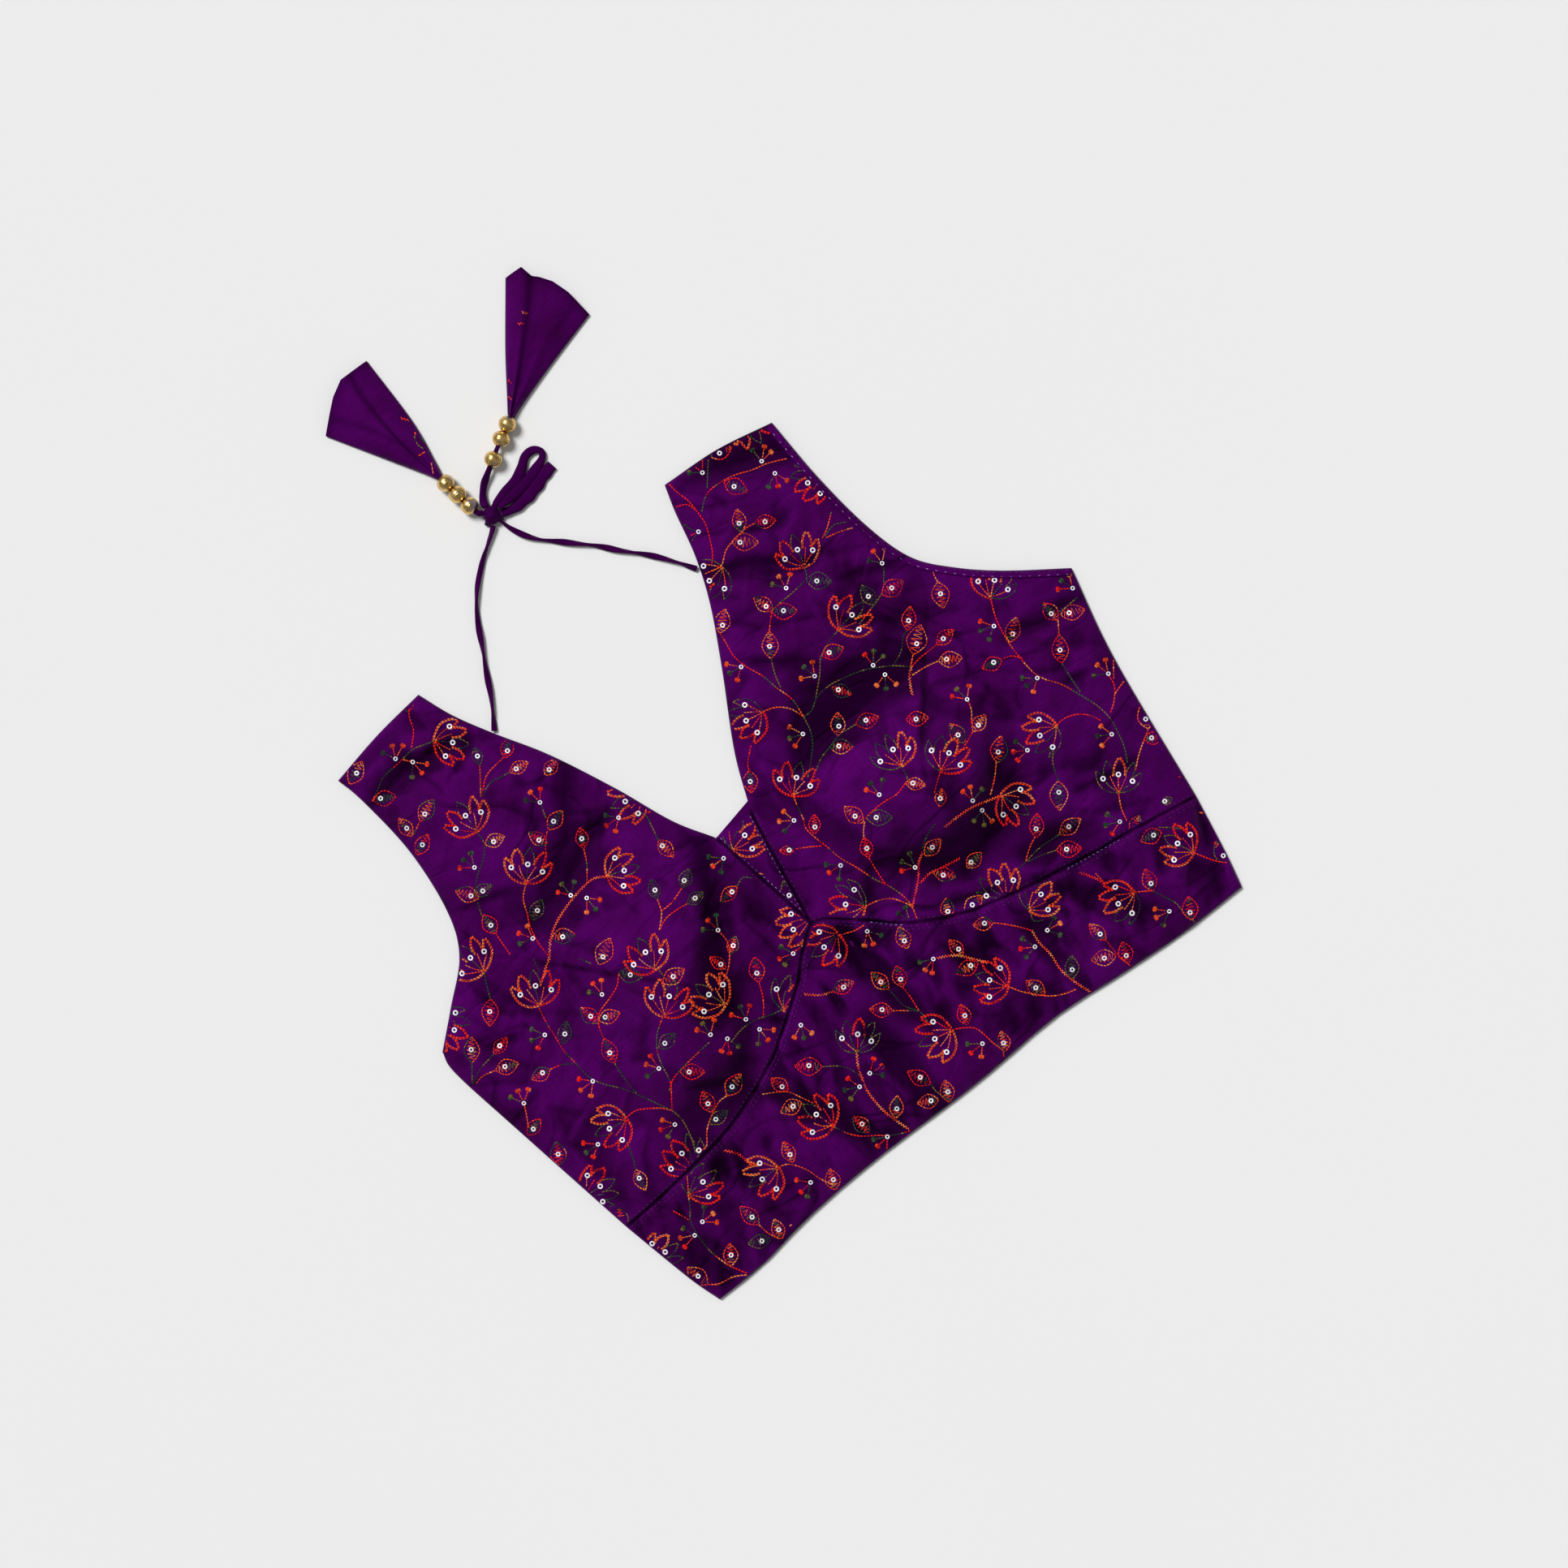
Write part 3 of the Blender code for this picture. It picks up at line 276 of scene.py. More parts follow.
TASSEL_STEMS = [
    [("R", -21.7, 514.6, -18.4, 510.2), ("o", -27.3, 491.1, -22.6, 490.6), ("o", -23.9, 483.6, -27.0, 477.6),
     ("g", -21.8, 502.0, -23.6, 497.0, -22.4, 492.6), ("g", -19.6, 500.0, -20.0, 495.0),
     ("r", -20.4, 503.6, -21.0, 501.6)],
    [("R", 65.2, 515.4, 67.8, 513.4), ("O", 71.2, 519.2, 73.0, 516.8), ("g", 71.4, 518.8, 73.0, 517.2),
     ("r", 40.4, 495.6, 41.0, 490.2), ("m", 34.8, 486.2, 35.0, 483.0)]]

# Embroidery of each panel, charted. A turn is the direction in degrees in which a motif opens,
# colours are named by their first letters (red, orange, green, mixed) from left to right along it,
# and a stem is its colour, in capitals where it is a thick satin one, then x and y of each point.
Flower = namedtuple("Flower", "x y turn colours")
Leaf = namedtuple("Leaf", "x y tip_x tip_y colour")
Spray = namedtuple("Spray", "x y turn colours")
Chart = namedtuple("Chart", "flowers leaves sprays stems")

LEFT_CHART = Chart(
    [(-122, 356, -40, "ogr"), (-135, 300, 88, "rgo"), (-131, 259, 48, "ogr"), (-92, 233, -18, "ogr"),
     (-169, 199, 65, "ogr"), (-103, 174, 82, "rgo"), (-115, 150, 38, "ogr"), (-84, 133, 110, "ogo"),
     (-170, 116, 172, "rgo"), (-158, 69, 90, "rrg"), (-182, 234, 100, "ogo"), (-222, 228, -60, "grr"),
     (-217, 96, -5, "rgg"), (-46, 258, 170, "ogo"), (-16, 141, 175, "ooo"), (-60, 110, 20, "gro")],
    [(-176, 367, -162, 373, "o"), (-171, 351, -159, 345, "r"), (-166, 321, -166, 334, "o"),
     (-157, 325, -143, 330, "m"), (-171, 311, -158, 316, "r"), (-110, 329, -106, 339, "g"),
     (-96, 323, -87, 331, "r"), (-99, 315, -87, 313, "o"), (-84, 301, -73, 304, "o"),
     (-124, 379, -117, 386, "m"), (-136, 291, -124, 288, "o"), (-158, 269, -166, 281, "m"),
     (-159, 272, -147, 270, "g"), (-163, 247, -162, 260, "r"), (-142, 240, -130, 246, "g"),
     (-108, 269, -112, 281, "m"), (-102, 275, -89, 279, "o"), (-93, 254, -87, 265, "r"),
     (-189, 219, -199, 207, "r"), (-220, 197, -211, 209, "m"), (-207, 193, -195, 196, "r"),
     (-212, 185, -199, 180, "o"), (-221, 144, -209, 147, "r"), (-217, 119, -210, 131, "m"),
     (-210, 67, -206, 79, "m"), (-198, 61, -184, 64, "o"), (-184, 90, -187, 77, "o"),
     (-155, 146, -151, 161, "r"), (-148, 170, -151, 183, "m"), (-147, 171, -134, 167, "o"),
     (-121, 185, -111, 175, "g"), (-127, 196, -112, 204, "o"), (-172, 173, -162, 182, "g"),
     (-187, 166, -199, 168, "m"), (-129, 137, -116, 138, "g"), (-128, 119, -117, 110, "r"),
     (-129, 89, -125, 102, "r"), (-134, 84, -121, 84, "g"), (-116, 91, -102, 96, "m"),
     (-139, 225, -127, 218, "m"), (-77, 205, -73, 216, "g"), (-62, 201, -52, 207, "g"),
     (-65, 192, -54, 191, "g"), (-104, 165, -89, 164, "o"), (-71, 149, -74, 160, "r"),
     (-64, 154, -55, 160, "m"), (-61, 131, -54, 144, "r"), (-37, 182, -50, 181, "m"),
     (-56, 231, -55, 218, "o")],
    [(-146, 362, 70, "goo"), (-139.5, 354.5, -95, "org"), (-149, 284.5, 105, "rgg"), (-96, 290.5, 95, "gor"),
     (-66, 255.5, 178, "rrg"), (-211, 160, 75, "goo"), (-192, 115, 175, "rgr"), (-177, 183.5, 165, "rgg"),
     (-171.5, 145.5, 180, "oor"), (-136, 181.5, 92, "gro"), (-136.5, 128, 130, "gor"),
     (-150, 96.5, 160, "gro"),
     (-148, 231.5, 125, "gro"), (-115.5, 237.5, 85, "rgg"), (-109, 230.5, -92, "ogo"),
     (-33, 199.5, 175, "gog"),
     (-35.5, 131.5, 155, "grg"), (-101, 125, 85, "ogo"), (-95, 117, -115, "grr"), (-80, 119, 80, "rgr"),
     (-77.5, 109.5, -90, "oog"), (-61, 169, 100, "grg")],
    [("m", -172, 351, -164, 355, -158, 358, -146, 359, -135, 360, -128, 358, -122, 356),
     ("r", -135, 361, -128, 368, -125, 376, -122, 380), ("m", -143, 359, -140, 355),
     ("m", -165, 321, -157, 325),
     ("g", -135, 300, -136, 292, -142, 285, -150, 280, -158, 273), ("o", -121, 314, -115, 322, -110, 329),
     ("r", -118, 316, -110, 322, -96, 324), ("g", -120, 314, -112, 317, -105, 316, -99, 315),
     ("g", -160, 268, -163, 260), ("r", -163, 247, -164, 232), ("o", -131, 259, -138, 253, -142, 244),
     ("r", -113, 263, -109, 269, -103, 275), ("g", -99, 281, -96, 290), ("m", -93, 254, -97, 246, -103, 238),
     ("g", -182, 234, -186, 226, -189, 219), ("m", -220, 197, -228, 187),
     ("g", -207, 193, -219, 191, -227, 187),
     ("m", -212, 185, -220, 187, -226, 186), ("o", -211, 160, -214, 154, -218, 147),
     ("m", -184, 90, -181, 96, -178, 106), ("r", -170, 117, -163, 117, -157, 114, -150, 109, -146, 104),
     ("g", -146, 104, -145, 96, -147, 86, -151, 76),
     ("g", -146, 104, -155, 122, -161, 132, -168, 141, -172, 150, -173, 160),
     ("m", -173, 160, -174, 170, -173, 178, -172, 188, -170, 198),
     ("m", -146, 104, -140, 112, -136, 118, -134, 128, -131, 136, -125, 144, -116, 150),
     ("m", -140, 114, -134, 118, -125, 120, -115, 121, -104, 122), ("g", -156, 124, -156, 136, -155, 146),
     ("r", -151, 161, -149, 168, -144, 174, -134, 177, -126, 180, -121, 185), ("g", -157, 213, -155, 222),
     ("m", -187, 166, -180, 164, -174, 160),
     ("o", -150, 76, -144, 75, -138, 82, -131, 87, -122, 91, -116, 91),
     ("g", -158, 67, -148, 68), ("m", -147, 218, -147, 228, -145, 238, -142, 244),
     ("O", -157, 210, -152, 214, -147, 217, -142, 223, -134, 229, -124, 233, -112, 236, -100, 237, -92, 233),
     ("m", -87, 190, -80, 193, -72, 193, -65, 192), ("o", -87, 190, -80, 197, -77, 205),
     ("r", -80, 198, -72, 198, -62, 201), ("g", -101, 174, -101, 167),
     ("o", -61, 169, -61, 160, -66, 152, -73, 146, -82, 142), ("r", -61, 131, -65, 122, -71, 114),
     ("g", -37, 182, -31, 184, -27, 180), ("g", -95, 114, -85, 116, -75, 115, -68, 112, -60, 110),
     ("g", -58, 251, -53, 248, -54, 240, -56, 231), ("r", -28, 131.5, -36, 132), ("g", -134, 206, -130, 199),
     ("r", -51, 247, -49, 247)])

GUSSET_CHART = Chart(
    [(-26, 200, 15, "goo")], [(-18, 154, -14, 168, "g")], [],
    [("o", -24.5, 187, -22.5, 185), ("o", -22.5, 180, -20.5, 178), ("r", -26.5, 170.5, -24.5, 168.5),
     ("g", -27.5, 164, -25.5, 162), ("r", -24.5, 160, -22.5, 158)])

BAND_CHART = Chart(
    [(-211, 42, 0, "ogg"), (-169, 60, 5, "ggr"), (-119, 40, 178, "rgo"), (-79, 39, 110, "rgr"),
     (-8, 124, 185, "rgr"), (50, 40, 125, "rgr"), (9, 40, 170, "ogr"), (-42, 64, 50, "grg"),
     (87, 67, 15, "goo"), (141, 37, 178, "gor"), (182, 34, 115, "ogr")],
    [(-193, 12, -196, 27, "o"), (-175, 12, -168, 23, "m"), (-148, 21, -150, 36, "m"),
     (-148, 10, -160, 16, "g"),
     (-143, 6, -139, 18, "o"), (-110, 37, -107, 50, "m"), (-101, 9, -96, 21, "o"), (-87, 71, -90, 83, "r"),
     (-85, 61, -98, 64, "o"), (-65, 23, -67, 36, "m"), (-63, 70, -75, 80, "r"), (-31, 100, -18, 97, "m"),
     (-5, 81, -7, 95, "o"), (-11, 70, -21, 79, "r"), (2, 77, 7, 89, "r"), (18, 93, 22, 106, "o"),
     (41, 70, 40, 82, "m"), (45, 61, 31, 64, "m"), (64, 23, 60, 36, "m"), (18, 37, 22, 49, "r"),
     (26, 11, 31, 22, "m"), (-48, 20, -39, 30, "o"), (-20, 23, -26, 37, "r"), (-22, 13, -33, 19, "o"),
     (-18, 8, -12, 20, "o"), (66, 74, 56, 80, "m"), (82, 20, 90, 31, "g"), (111, 26, 109, 39, "m"),
     (110, 15, 97, 22, "o"), (113, 7, 118, 19, "r"), (150, 31, 154, 44, "r"), (157, 4, 164, 16, "r"),
     (175, 55, 162, 58, "r"), (194, 17, 196, 31, "m")],
    [(-181, 39, 145, "rog"), (-172.5, 42.5, 0, "goo"), (-109.5, 21.5, 180, "grr"), (-57.5, 96.5, -110, "ogo"),
     (6, 115, -100, "goo"), (26, 79, 190, "rog"), (-53, 47.5, 150, "ggr"), (-43.5, 50, -10, "rog"),
     (18, 23, 180, "org"), (-58.5, 14.5, 190, "rrg"), (76.5, 48, 155, "grg"), (88, 51, -10, "gog"),
     (150, 16, 170, "goo")],
    [("m", -169, 60, -174, 52, -178, 46, -180, 30, -177, 15, -170, 1), ("r", -182, 58, -178, 48),
     ("o", -193, 12, -187, 8, -178, 6, -170, 1), ("o", -148, 21, -147, 14, -144, 7),
     ("R", -130, 50, -132, 60, -137, 67),
     ("o", -119, 40, -113, 38, -109, 33, -106, 27, -104, 20, -100, 12),
     ("o", -100, 79, -92, 74, -87, 70, -83, 62, -80, 56),
     ("m", -79, 38, -75, 30, -70, 24, -63, 19, -55, 13, -44, 8), ("g", -63, 70, -56, 65, -51, 59, -49, 52),
     ("O", -45, 109, -38, 103, -31, 100), ("r", -8, 123, 0, 120, 7, 119),
     ("O", 28, 78, 34, 75, 39, 71, 43, 66, 49, 58), ("o", 50, 40, 54, 33, 60, 26, 66, 20, 73, 16, 80, 14),
     ("g", 1, 52, 1, 60, -4, 68, -5, 81), ("m", 1, 60, -6, 66, -11, 70), ("r", 1, 60, 2, 70, 2, 77),
     ("r", 9, 40, 15, 37, 20, 33, 22, 27, 23, 20, 25, 12), ("o", 25, 12, 22, 8, 19, 5),
     ("O", -42, 64, -46, 58, -49, 50, -51, 42, -51, 30, -49, 20, -46, 10), ("g", -20, 23, -20, 17, -17, 8),
     ("r", 66, 74, 71, 69, 77, 62, 81, 56), ("O", 81, 56, 80, 48, 81, 38, 80, 28, 82, 18, 86, 6),
     ("g", 87, 66, 85, 60, 90, 57), ("r", 111, 26, 111, 17, 112, 10, 113, 5),
     ("R", 131, 51, 128, 58, 123, 66), ("r", 131, 51, 130, 60), ("r", 141, 37, 146, 34, 150, 31),
     ("g", 150, 31, 153, 24, 156, 17, 156, 8, 158, 2), ("g", 175, 58, 180, 54, 185, 49),
     ("r", 182, 34, 186, 27, 190, 21, 194, 17), ("o", 199, 50, 201, 48), ("o", 192, 10, 194, 9),
     ("o", 191, 4.5, 193, 3.5), ("o", -135, 9, -133, 9)])

RIGHT_CHART = Chart(
    [(71, 332, 190, "grg"), (108, 303, 75, "rgo"), (37, 252, 172, "rog"), (101, 262, 12, "rgo"),
     (21, 203, 42, "rgr"), (80, 178, 80, "ggo"), (96, 162, 28, "gor"), (115, 129, -70, "ogr"),
     (165, 140, 172, "gro"), (181, 222, 40, "rog"), (169, 88, 52, "gog"), (14, 127, 135, "org"),
     (81, 80, 85, "goo"), (134, 394, -90, "rgo"), (150, 338, 175, "rrg")],
    [(102, 370, 109, 357, "r"), (105, 386, 118, 383, "m"), (92, 341, 98, 353, "m"), (84, 340, 96, 330, "o"),
     (101, 340, 112, 334, "m"), (46, 303, 57, 312, "o"), (78, 294, 74, 307, "m"), (77, 294, 89, 285, "r"),
     (60, 273, 69, 286, "o"), (104, 296, 115, 286, "g"), (84, 256, 97, 252, "r"), (126, 260, 127, 274, "g"),
     (133, 262, 148, 261, "r"), (132, 237, 142, 247, "r"), (163, 248, 156, 234, "o"), (10, 230, 3, 219, "r"),
     (77, 238, 84, 228, "m"), (63, 214, 71, 225, "o"), (55, 212, 66, 204, "m"), (75, 213, 88, 208, "r"),
     (17, 178, 24, 187, "r"), (2, 178, -5, 183, "m"), (43, 166, 40, 180, "o"), (46, 167, 58, 158, "g"),
     (33, 148, 38, 159, "r"), (76, 169, 84, 161, "o"), (99, 197, 110, 190, "r"), (83, 146, 90, 154, "m"),
     (59, 129, 72, 131, "o"), (57, 118, 66, 108, "m"), (74, 108, 86, 110, "o"), (140, 220, 153, 221, "r"),
     (126, 224, 140, 235, "o"), (135, 212, 147, 205, "o"), (117, 166, 117, 180, "m"),
     (125, 168, 137, 171, "o"),
     (125, 145, 136, 156, "m"), (146, 115, 136, 101, "o"), (174, 195, 186, 204, "o"),
     (164, 190, 152, 193, "r"),
     (190, 167, 199, 181, "r"), (204, 188, 203, 201, "m"), (207, 189, 220, 183, "o"),
     (206, 106, 212, 120, "o"),
     (200, 103, 210, 97, "r"), (161, 66, 171, 70, "m"), (116, 97, 125, 108, "r"), (128, 90, 143, 90, "o"),
     (121, 84, 133, 76, "r"), (47, 92, 54, 102, "m"), (57, 89, 71, 90, "o"), (185, 68, 192, 66, "g")],
    [(95.5, 382, 100, "grr"), (126.5, 366, 45, "goo"), (128, 355.5, -110, "org"), (72.5, 356.5, 160, "grg"),
     (43.5, 280, 175, "ogo"), (92, 299.5, 80, "goo"), (73.5, 249.5, 105, "ogo"), (144.5, 276.5, 85, "goo"),
     (47.5, 227.5, 160, "ogo"), (12.5, 191.5, 145, "goo"), (17.5, 154.5, 180, "grg"), (60, 173, 85, "rgg"),
     (50.5, 127, 120, "rgg"), (104, 233.5, 50, "rgg"), (106, 225, -125, "ogo"), (134, 184.5, 90, "rgo"),
     (143, 140, 150, "rrg"), (172.5, 208, 165, "ggr"), (173.5, 169, 180, "ogg"), (207.5, 145.5, 110, "goo"),
     (187, 117, 150, "ogo"), (159.5, 74.5, 155, "rgg"), (29, 104.5, 110, "ggg"), (100, 137, 60, "rog"),
     (101, 129, -120, "ogg"), (222, 197, 110, "rgo")],
    [("r", 76, 391, 77, 382, 79, 374, 79, 364, 78, 356, 72, 343, 67, 337), ("r", 71, 376, 77, 373, 79, 367),
     ("m", 81, 364, 87, 369, 92, 371, 100, 371, 110, 369, 120, 365, 128, 363, 139, 358),
     ("g", 92, 373, 97, 379, 103, 386), ("o", 64, 334, 71, 333, 78, 338, 86, 340, 95, 341, 101, 340),
     ("m", 46, 303, 45, 295, 44, 287, 46, 278, 50, 268, 52, 258, 55, 247, 54, 235),
     ("g", 77, 294, 84, 295, 92, 295, 103, 296), ("m", 69, 286, 73, 290, 77, 294),
     ("g", 60, 273, 56, 264, 54, 256), ("g", 108, 303, 106, 298, 104, 296),
     ("m", 126, 309, 132, 312, 140, 318),
     ("g", 128, 309, 136, 311, 143, 308), ("o", 128, 308, 136, 306, 144, 303),
     ("g", 101, 262, 93, 260, 87, 258, 82, 255, 76, 248, 66, 239),
     ("m", 112, 257, 120, 259, 128, 261, 134, 263),
     ("g", 138, 267, 143, 273, 144, 276), ("o", 163, 248, 164, 253, 167, 258),
     ("o", 37, 252, 45, 249, 51, 243, 54, 235),
     ("g", 54, 235, 60, 235, 67, 239, 77, 240, 87, 238, 97, 235, 105, 231, 113, 226, 121, 219),
     ("g", 54, 235, 52, 226, 48, 219, 40, 211, 34, 206), ("r", 20, 241, 12, 234, 10, 230),
     ("g", 40, 206, 47, 210, 55, 212, 63, 214, 75, 213),
     ("m", 21, 203, 19, 196, 17, 188, 15, 184, 16, 176, 18, 168, 20, 158, 24, 148, 28, 136, 32, 128, 35, 118,
      35, 110, 33, 103),
     ("r", 3, 178, 10, 174, 16, 170), ("r", 45, 167, 52, 168, 60, 168, 68, 167, 76, 169),
     ("m", 44, 166, 40, 162, 38, 159), ("r", 33, 148, 32, 140, 31, 130), ("g", 80, 178, 79, 172, 77, 168),
     ("r", 96, 162, 90, 158, 85, 154), ("g", 60, 133, 68, 138, 75, 140),
     ("R", 35, 110, 40, 114, 46, 119, 50, 123, 54, 128, 59, 131),
     ("R", 47, 118, 55, 119, 63, 117, 74, 115), ("o", 14, 127, 22, 125, 29, 121, 33, 115, 35, 111),
     ("O", 78, 135, 88, 135, 98, 134, 108, 131, 115, 129), ("O", 121, 219, 117, 216, 113, 210, 111, 206),
     ("r", 121, 219, 128, 220, 140, 220), ("g", 113, 226, 122, 230, 128, 236, 132, 237),
     ("o", 120, 219, 126, 224), ("o", 118, 215, 127, 214, 135, 212), ("m", 134, 184, 132, 178, 127, 172),
     ("r", 110, 163, 117, 165, 125, 168), ("o", 125, 146, 118, 139, 110, 133),
     ("r", 165, 141, 172, 141, 179, 138, 184, 133, 187, 127), ("g", 155, 131, 150, 125, 146, 115),
     ("g", 184, 98, 188, 106, 190, 113, 192, 124, 191, 134, 188, 143, 185, 151),
     ("o", 185, 151, 182, 158, 177, 165, 174, 172, 173, 181),
     ("r", 173, 181, 173, 190, 174, 200, 176, 210, 181, 222), ("r", 165, 190, 170, 188, 174, 183),
     ("g", 190, 167, 189, 158, 188, 147), ("o", 199, 181, 204, 188), ("g", 207, 191, 221, 191),
     ("r", 207, 145, 206, 138, 200, 131, 194, 127), ("o", 208, 141, 215, 150), ("o", 203, 134, 214, 137),
     ("o", 185, 92, 191, 97, 197, 101, 206, 106), ("o", 163, 72, 165, 80, 169, 88),
     ("g", 95, 89, 105, 90, 115, 91, 128, 90), ("g", 104, 89, 112, 87, 121, 84),
     ("o", 103, 90, 110, 95, 116, 98), ("o", 57, 89, 50, 91), ("r", 202, 73.5, 204, 72.5)])

# Sum of the x of a motif on the front and of the same motif on the back
MIRROR_SUM = -3

# Stitch and sequin sizes, and the shape of the lotus motif: across and along, from its base
STITCH_LENGTH = 1.95
STITCH_WIDTH = 1.1
STITCH_RISE = 0.46
SATIN_WIDTH = 2.2
LEAF_SLIMNESS = 0.32
LEAF_LINES = 11
BERRY_REACH = 8.3
BERRY_SPREAD = 42.0
SEQUIN_RADIUS = 1.65
SEQUIN_HOLE = 0.74
PETAL_LINES = [
    [(0, 0), (-5.0, 0.5), (-9.8, 3.2), (-12.8, 8.0), (-13.4, 13.4)], [(-13.4, 13.4), (-10.4, 11.0),
    (-7.8, 9.0)],
    [(-7.8, 9.0), (-8.8, 13.6), (-7.0, 19.2)], [(-7.0, 19.2), (-3.8, 15.2), (-2.6, 10.2)],
    [(-2.6, 10.2), (-1.8, 16.0), (1.0, 20.8)], [(1.0, 20.8), (3.6, 16.0), (3.8, 10.0)],
    [(3.8, 10.0), (6.0, 15.2), (9.8, 18.4)], [(9.8, 18.4), (10.0, 13.2), (8.0, 8.6)],
    [(8.0, 8.6), (10.8, 10.0), (14.0, 12.2)], [(14.0, 12.2), (12.8, 6.4), (9.0, 2.4), (4.6, 0.4), (0, 0)]]
VEIN_LINES = [
    [(0, 0.4), (-4.6, 3.8), (-8.4, 7.4)], [(0, 0.4), (-2.6, 4.8), (-4.8, 10.4)], [(0, 0.4), (0.2, 5.0),
    (0.2, 9.6)],
    [(0, 0.4), (2.6, 4.8), (5.2, 10.0)], [(0, 0.4), (4.6, 3.2), (8.6, 5.8)]]
FLOWER_SEQUINS = [(-9.2, 8.4), (0.3, 11.2), (8.8, 7.2)]

# Faces of one stitch: its two ends, and at two places its left edge, crest and right edge
STITCH_QUADS = [(1, 4, 5, 2)[::-1], (2, 5, 6, 3)[::-1], (1, 3, 6, 4)[::-1]]
STITCH_TRIANGLES = [(0, 2, 1), (0, 3, 2), (7, 4, 5), (7, 5, 6), (0, 1, 3), (7, 6, 4)]

# Thread colours as linear shades: red, orange and green, each light, middle, dark or flecked
THREADS = {
    "r": [(0.86, 0.005, 0.004), (0.98, 0.012, 0.005), (0.40, 0.003, 0.005), (0.98, 0.050, 0.009)],
    "o": [(0.98, 0.095, 0.010), (0.98, 0.210, 0.055), (0.98, 0.050, 0.006), (0.50, 0.034, 0.006)],
    "g": [(0.045, 0.080, 0.030), (0.010, 0.050, 0.018), (0.150, 0.115, 0.022), (0.014, 0.026, 0.016)],
    "l": [(0.20, 0.17, 0.42), (0.34, 0.30, 0.58), (0.12, 0.10, 0.30)],
    "p": [(0.060, 0.006, 0.095), (0.090, 0.020, 0.150)],
}
BACK_FACE = 0.42

# Camera straight above, turned so that the hem runs up to the right as in the photograph
VIEW_CENTRE = Point(21.0, 211.6)
VIEW_UP = (0.6198, 0.7848)
VIEW_WIDTH = 908.0
LENS = 85.0
SENSOR = 36.0

# Studio light: where the key comes from, its strength and the strength of the even fill
KEY_FROM = (-0.16, 0.86, 1.24)
KEY_STRENGTH = 2.96
FILL_STRENGTH = 0.26
KEY_ANGLE = 22.0

# Silk shades, and the direction of the weft of each panel in degrees
SILK_DARK = (0.035, 0.0004, 0.043)
SILK_LIGHT = (0.068, 0.0008, 0.095)
CORD_DARK = (0.024, 0.0004, 0.034)
GRAIN = {"front_left": -4, "front_right": 3, "centre_gusset": 8, "front_band": -2, "back": 0, "tassels": 38}

# Fine creases painted as shade into the silk's colour, and bumped: turn, squeeze of the pattern, its scale,
# where it starts to show
CREASE_LAYERS = [(0.35, (1.0, 2.0, 1.0), 10.0, 0.44), (1.45, (1.0, 1.8, 1.0), 13.0, 0.50)]


def place(points):
    """Millimetres from the middle of the hem to metres from the part's origin."""
    moved = np.array(points, dtype=float)
    moved[:, 0] -= CENTRE_X
    moved[:, 1] -= CENTRE_Y
    return moved * MM


def link(item):
    bpy.context.collection.objects.link(item)
    return item


def make_object(name, points, quads=None, triangles=None, material=None, smooth=True):
    """One mesh object from points in millimetres and arrays of corner numbers."""
    quads = np.zeros((0, 4), dtype=int) if quads is None else np.asarray(quads, dtype=int)
    triangles = np.zeros((0, 3), dtype=int) if triangles is None else np.asarray(triangles, dtype=int)
    mesh = bpy.data.meshes.new(name)
    mesh.vertices.add(len(points))
    mesh.vertices.foreach_set("co", place(points).ravel())
    mesh.loops.add(quads.size + triangles.size)
    mesh.loops.foreach_set("vertex_index", np.concatenate([quads.ravel(), triangles.ravel()]))
    starts = np.concatenate([4 * np.arange(len(quads)), quads.size + 3 * np.arange(len(triangles))])
    mesh.polygons.add(len(starts))
    mesh.polygons.foreach_set("loop_start", starts)
    mesh.update(calc_edges=True)
    mesh.validate()
    if smooth:
        mesh.shade_smooth()
    if material:
        mesh.materials.append(material)
    return link(bpy.data.objects.new(name, mesh))


def smooth_curve(points, where):
    """Points of a Catmull-Rom curve through the given ones, at shares of its length."""
    knots = np.array([tuple(point) for point in points], dtype=float)
    first = 2 * knots[0] - knots[1]
    last = 2 * knots[-1] - knots[-2]
    knots = np.vstack([first, knots, last])
    steps = np.linspace(0.0, 1.0, 24, endpoint=False)[:, None]
    pieces = []
    for i in range(1, len(knots) - 2):
        a, b, c, d = knots[i - 1:i + 3]
        pieces.append(HALF * (2 * b + (c - a) * steps + (2 * a - 5 * b + 4 * c - d) * steps ** 2
                              + (3 * b - a - 3 * c + d) * steps ** 3))
    dense = np.vstack(pieces + [knots[-2:-1]])
    lengths = np.concatenate([[0.0], np.cumsum(np.linalg.norm(np.diff(dense, axis=0), axis=1))])
    wanted = np.asarray(where) * lengths[-1]
    return np.stack([np.interp(wanted, lengths, dense[:, k]) for k in range(dense.shape[1])], axis=1)


def line_length(line):
    return float(np.sum(np.linalg.norm(np.diff(line, axis=0), axis=1)))


def offset(line, distance):
    """The line moved to its left by a distance, point for point."""
    along = np.gradient(line[:, :2], axis=0)
    along /= np.linalg.norm(along, axis=1)[:, None]
    moved = line.copy()
    moved[:, 0] -= along[:, 1] * distance
    moved[:, 1] += along[:, 0] * distance
    return moved


def straight(start, end, where):
    return np.array([start]) + (np.array([end]) - np.array([start])) * np.asarray(where)[:, None]


def coons(bottom, top, left, right, across, up):
    """Plan points inside four edges, as rows from bottom to top."""
    u = np.asarray(across)[None, :, None]
    v = np.asarray(up)[:, None, None]
    between = (1 - v) * bottom[None] + v * top[None] + (1 - u) * left[:, None] + u * right[:, None]
    corners = ((1 - u) * (1 - v) * bottom[0] + u * (1 - v) * bottom[-1]
               + (1 - u) * v * top[0] + u * v * top[-1])
    return between - corners


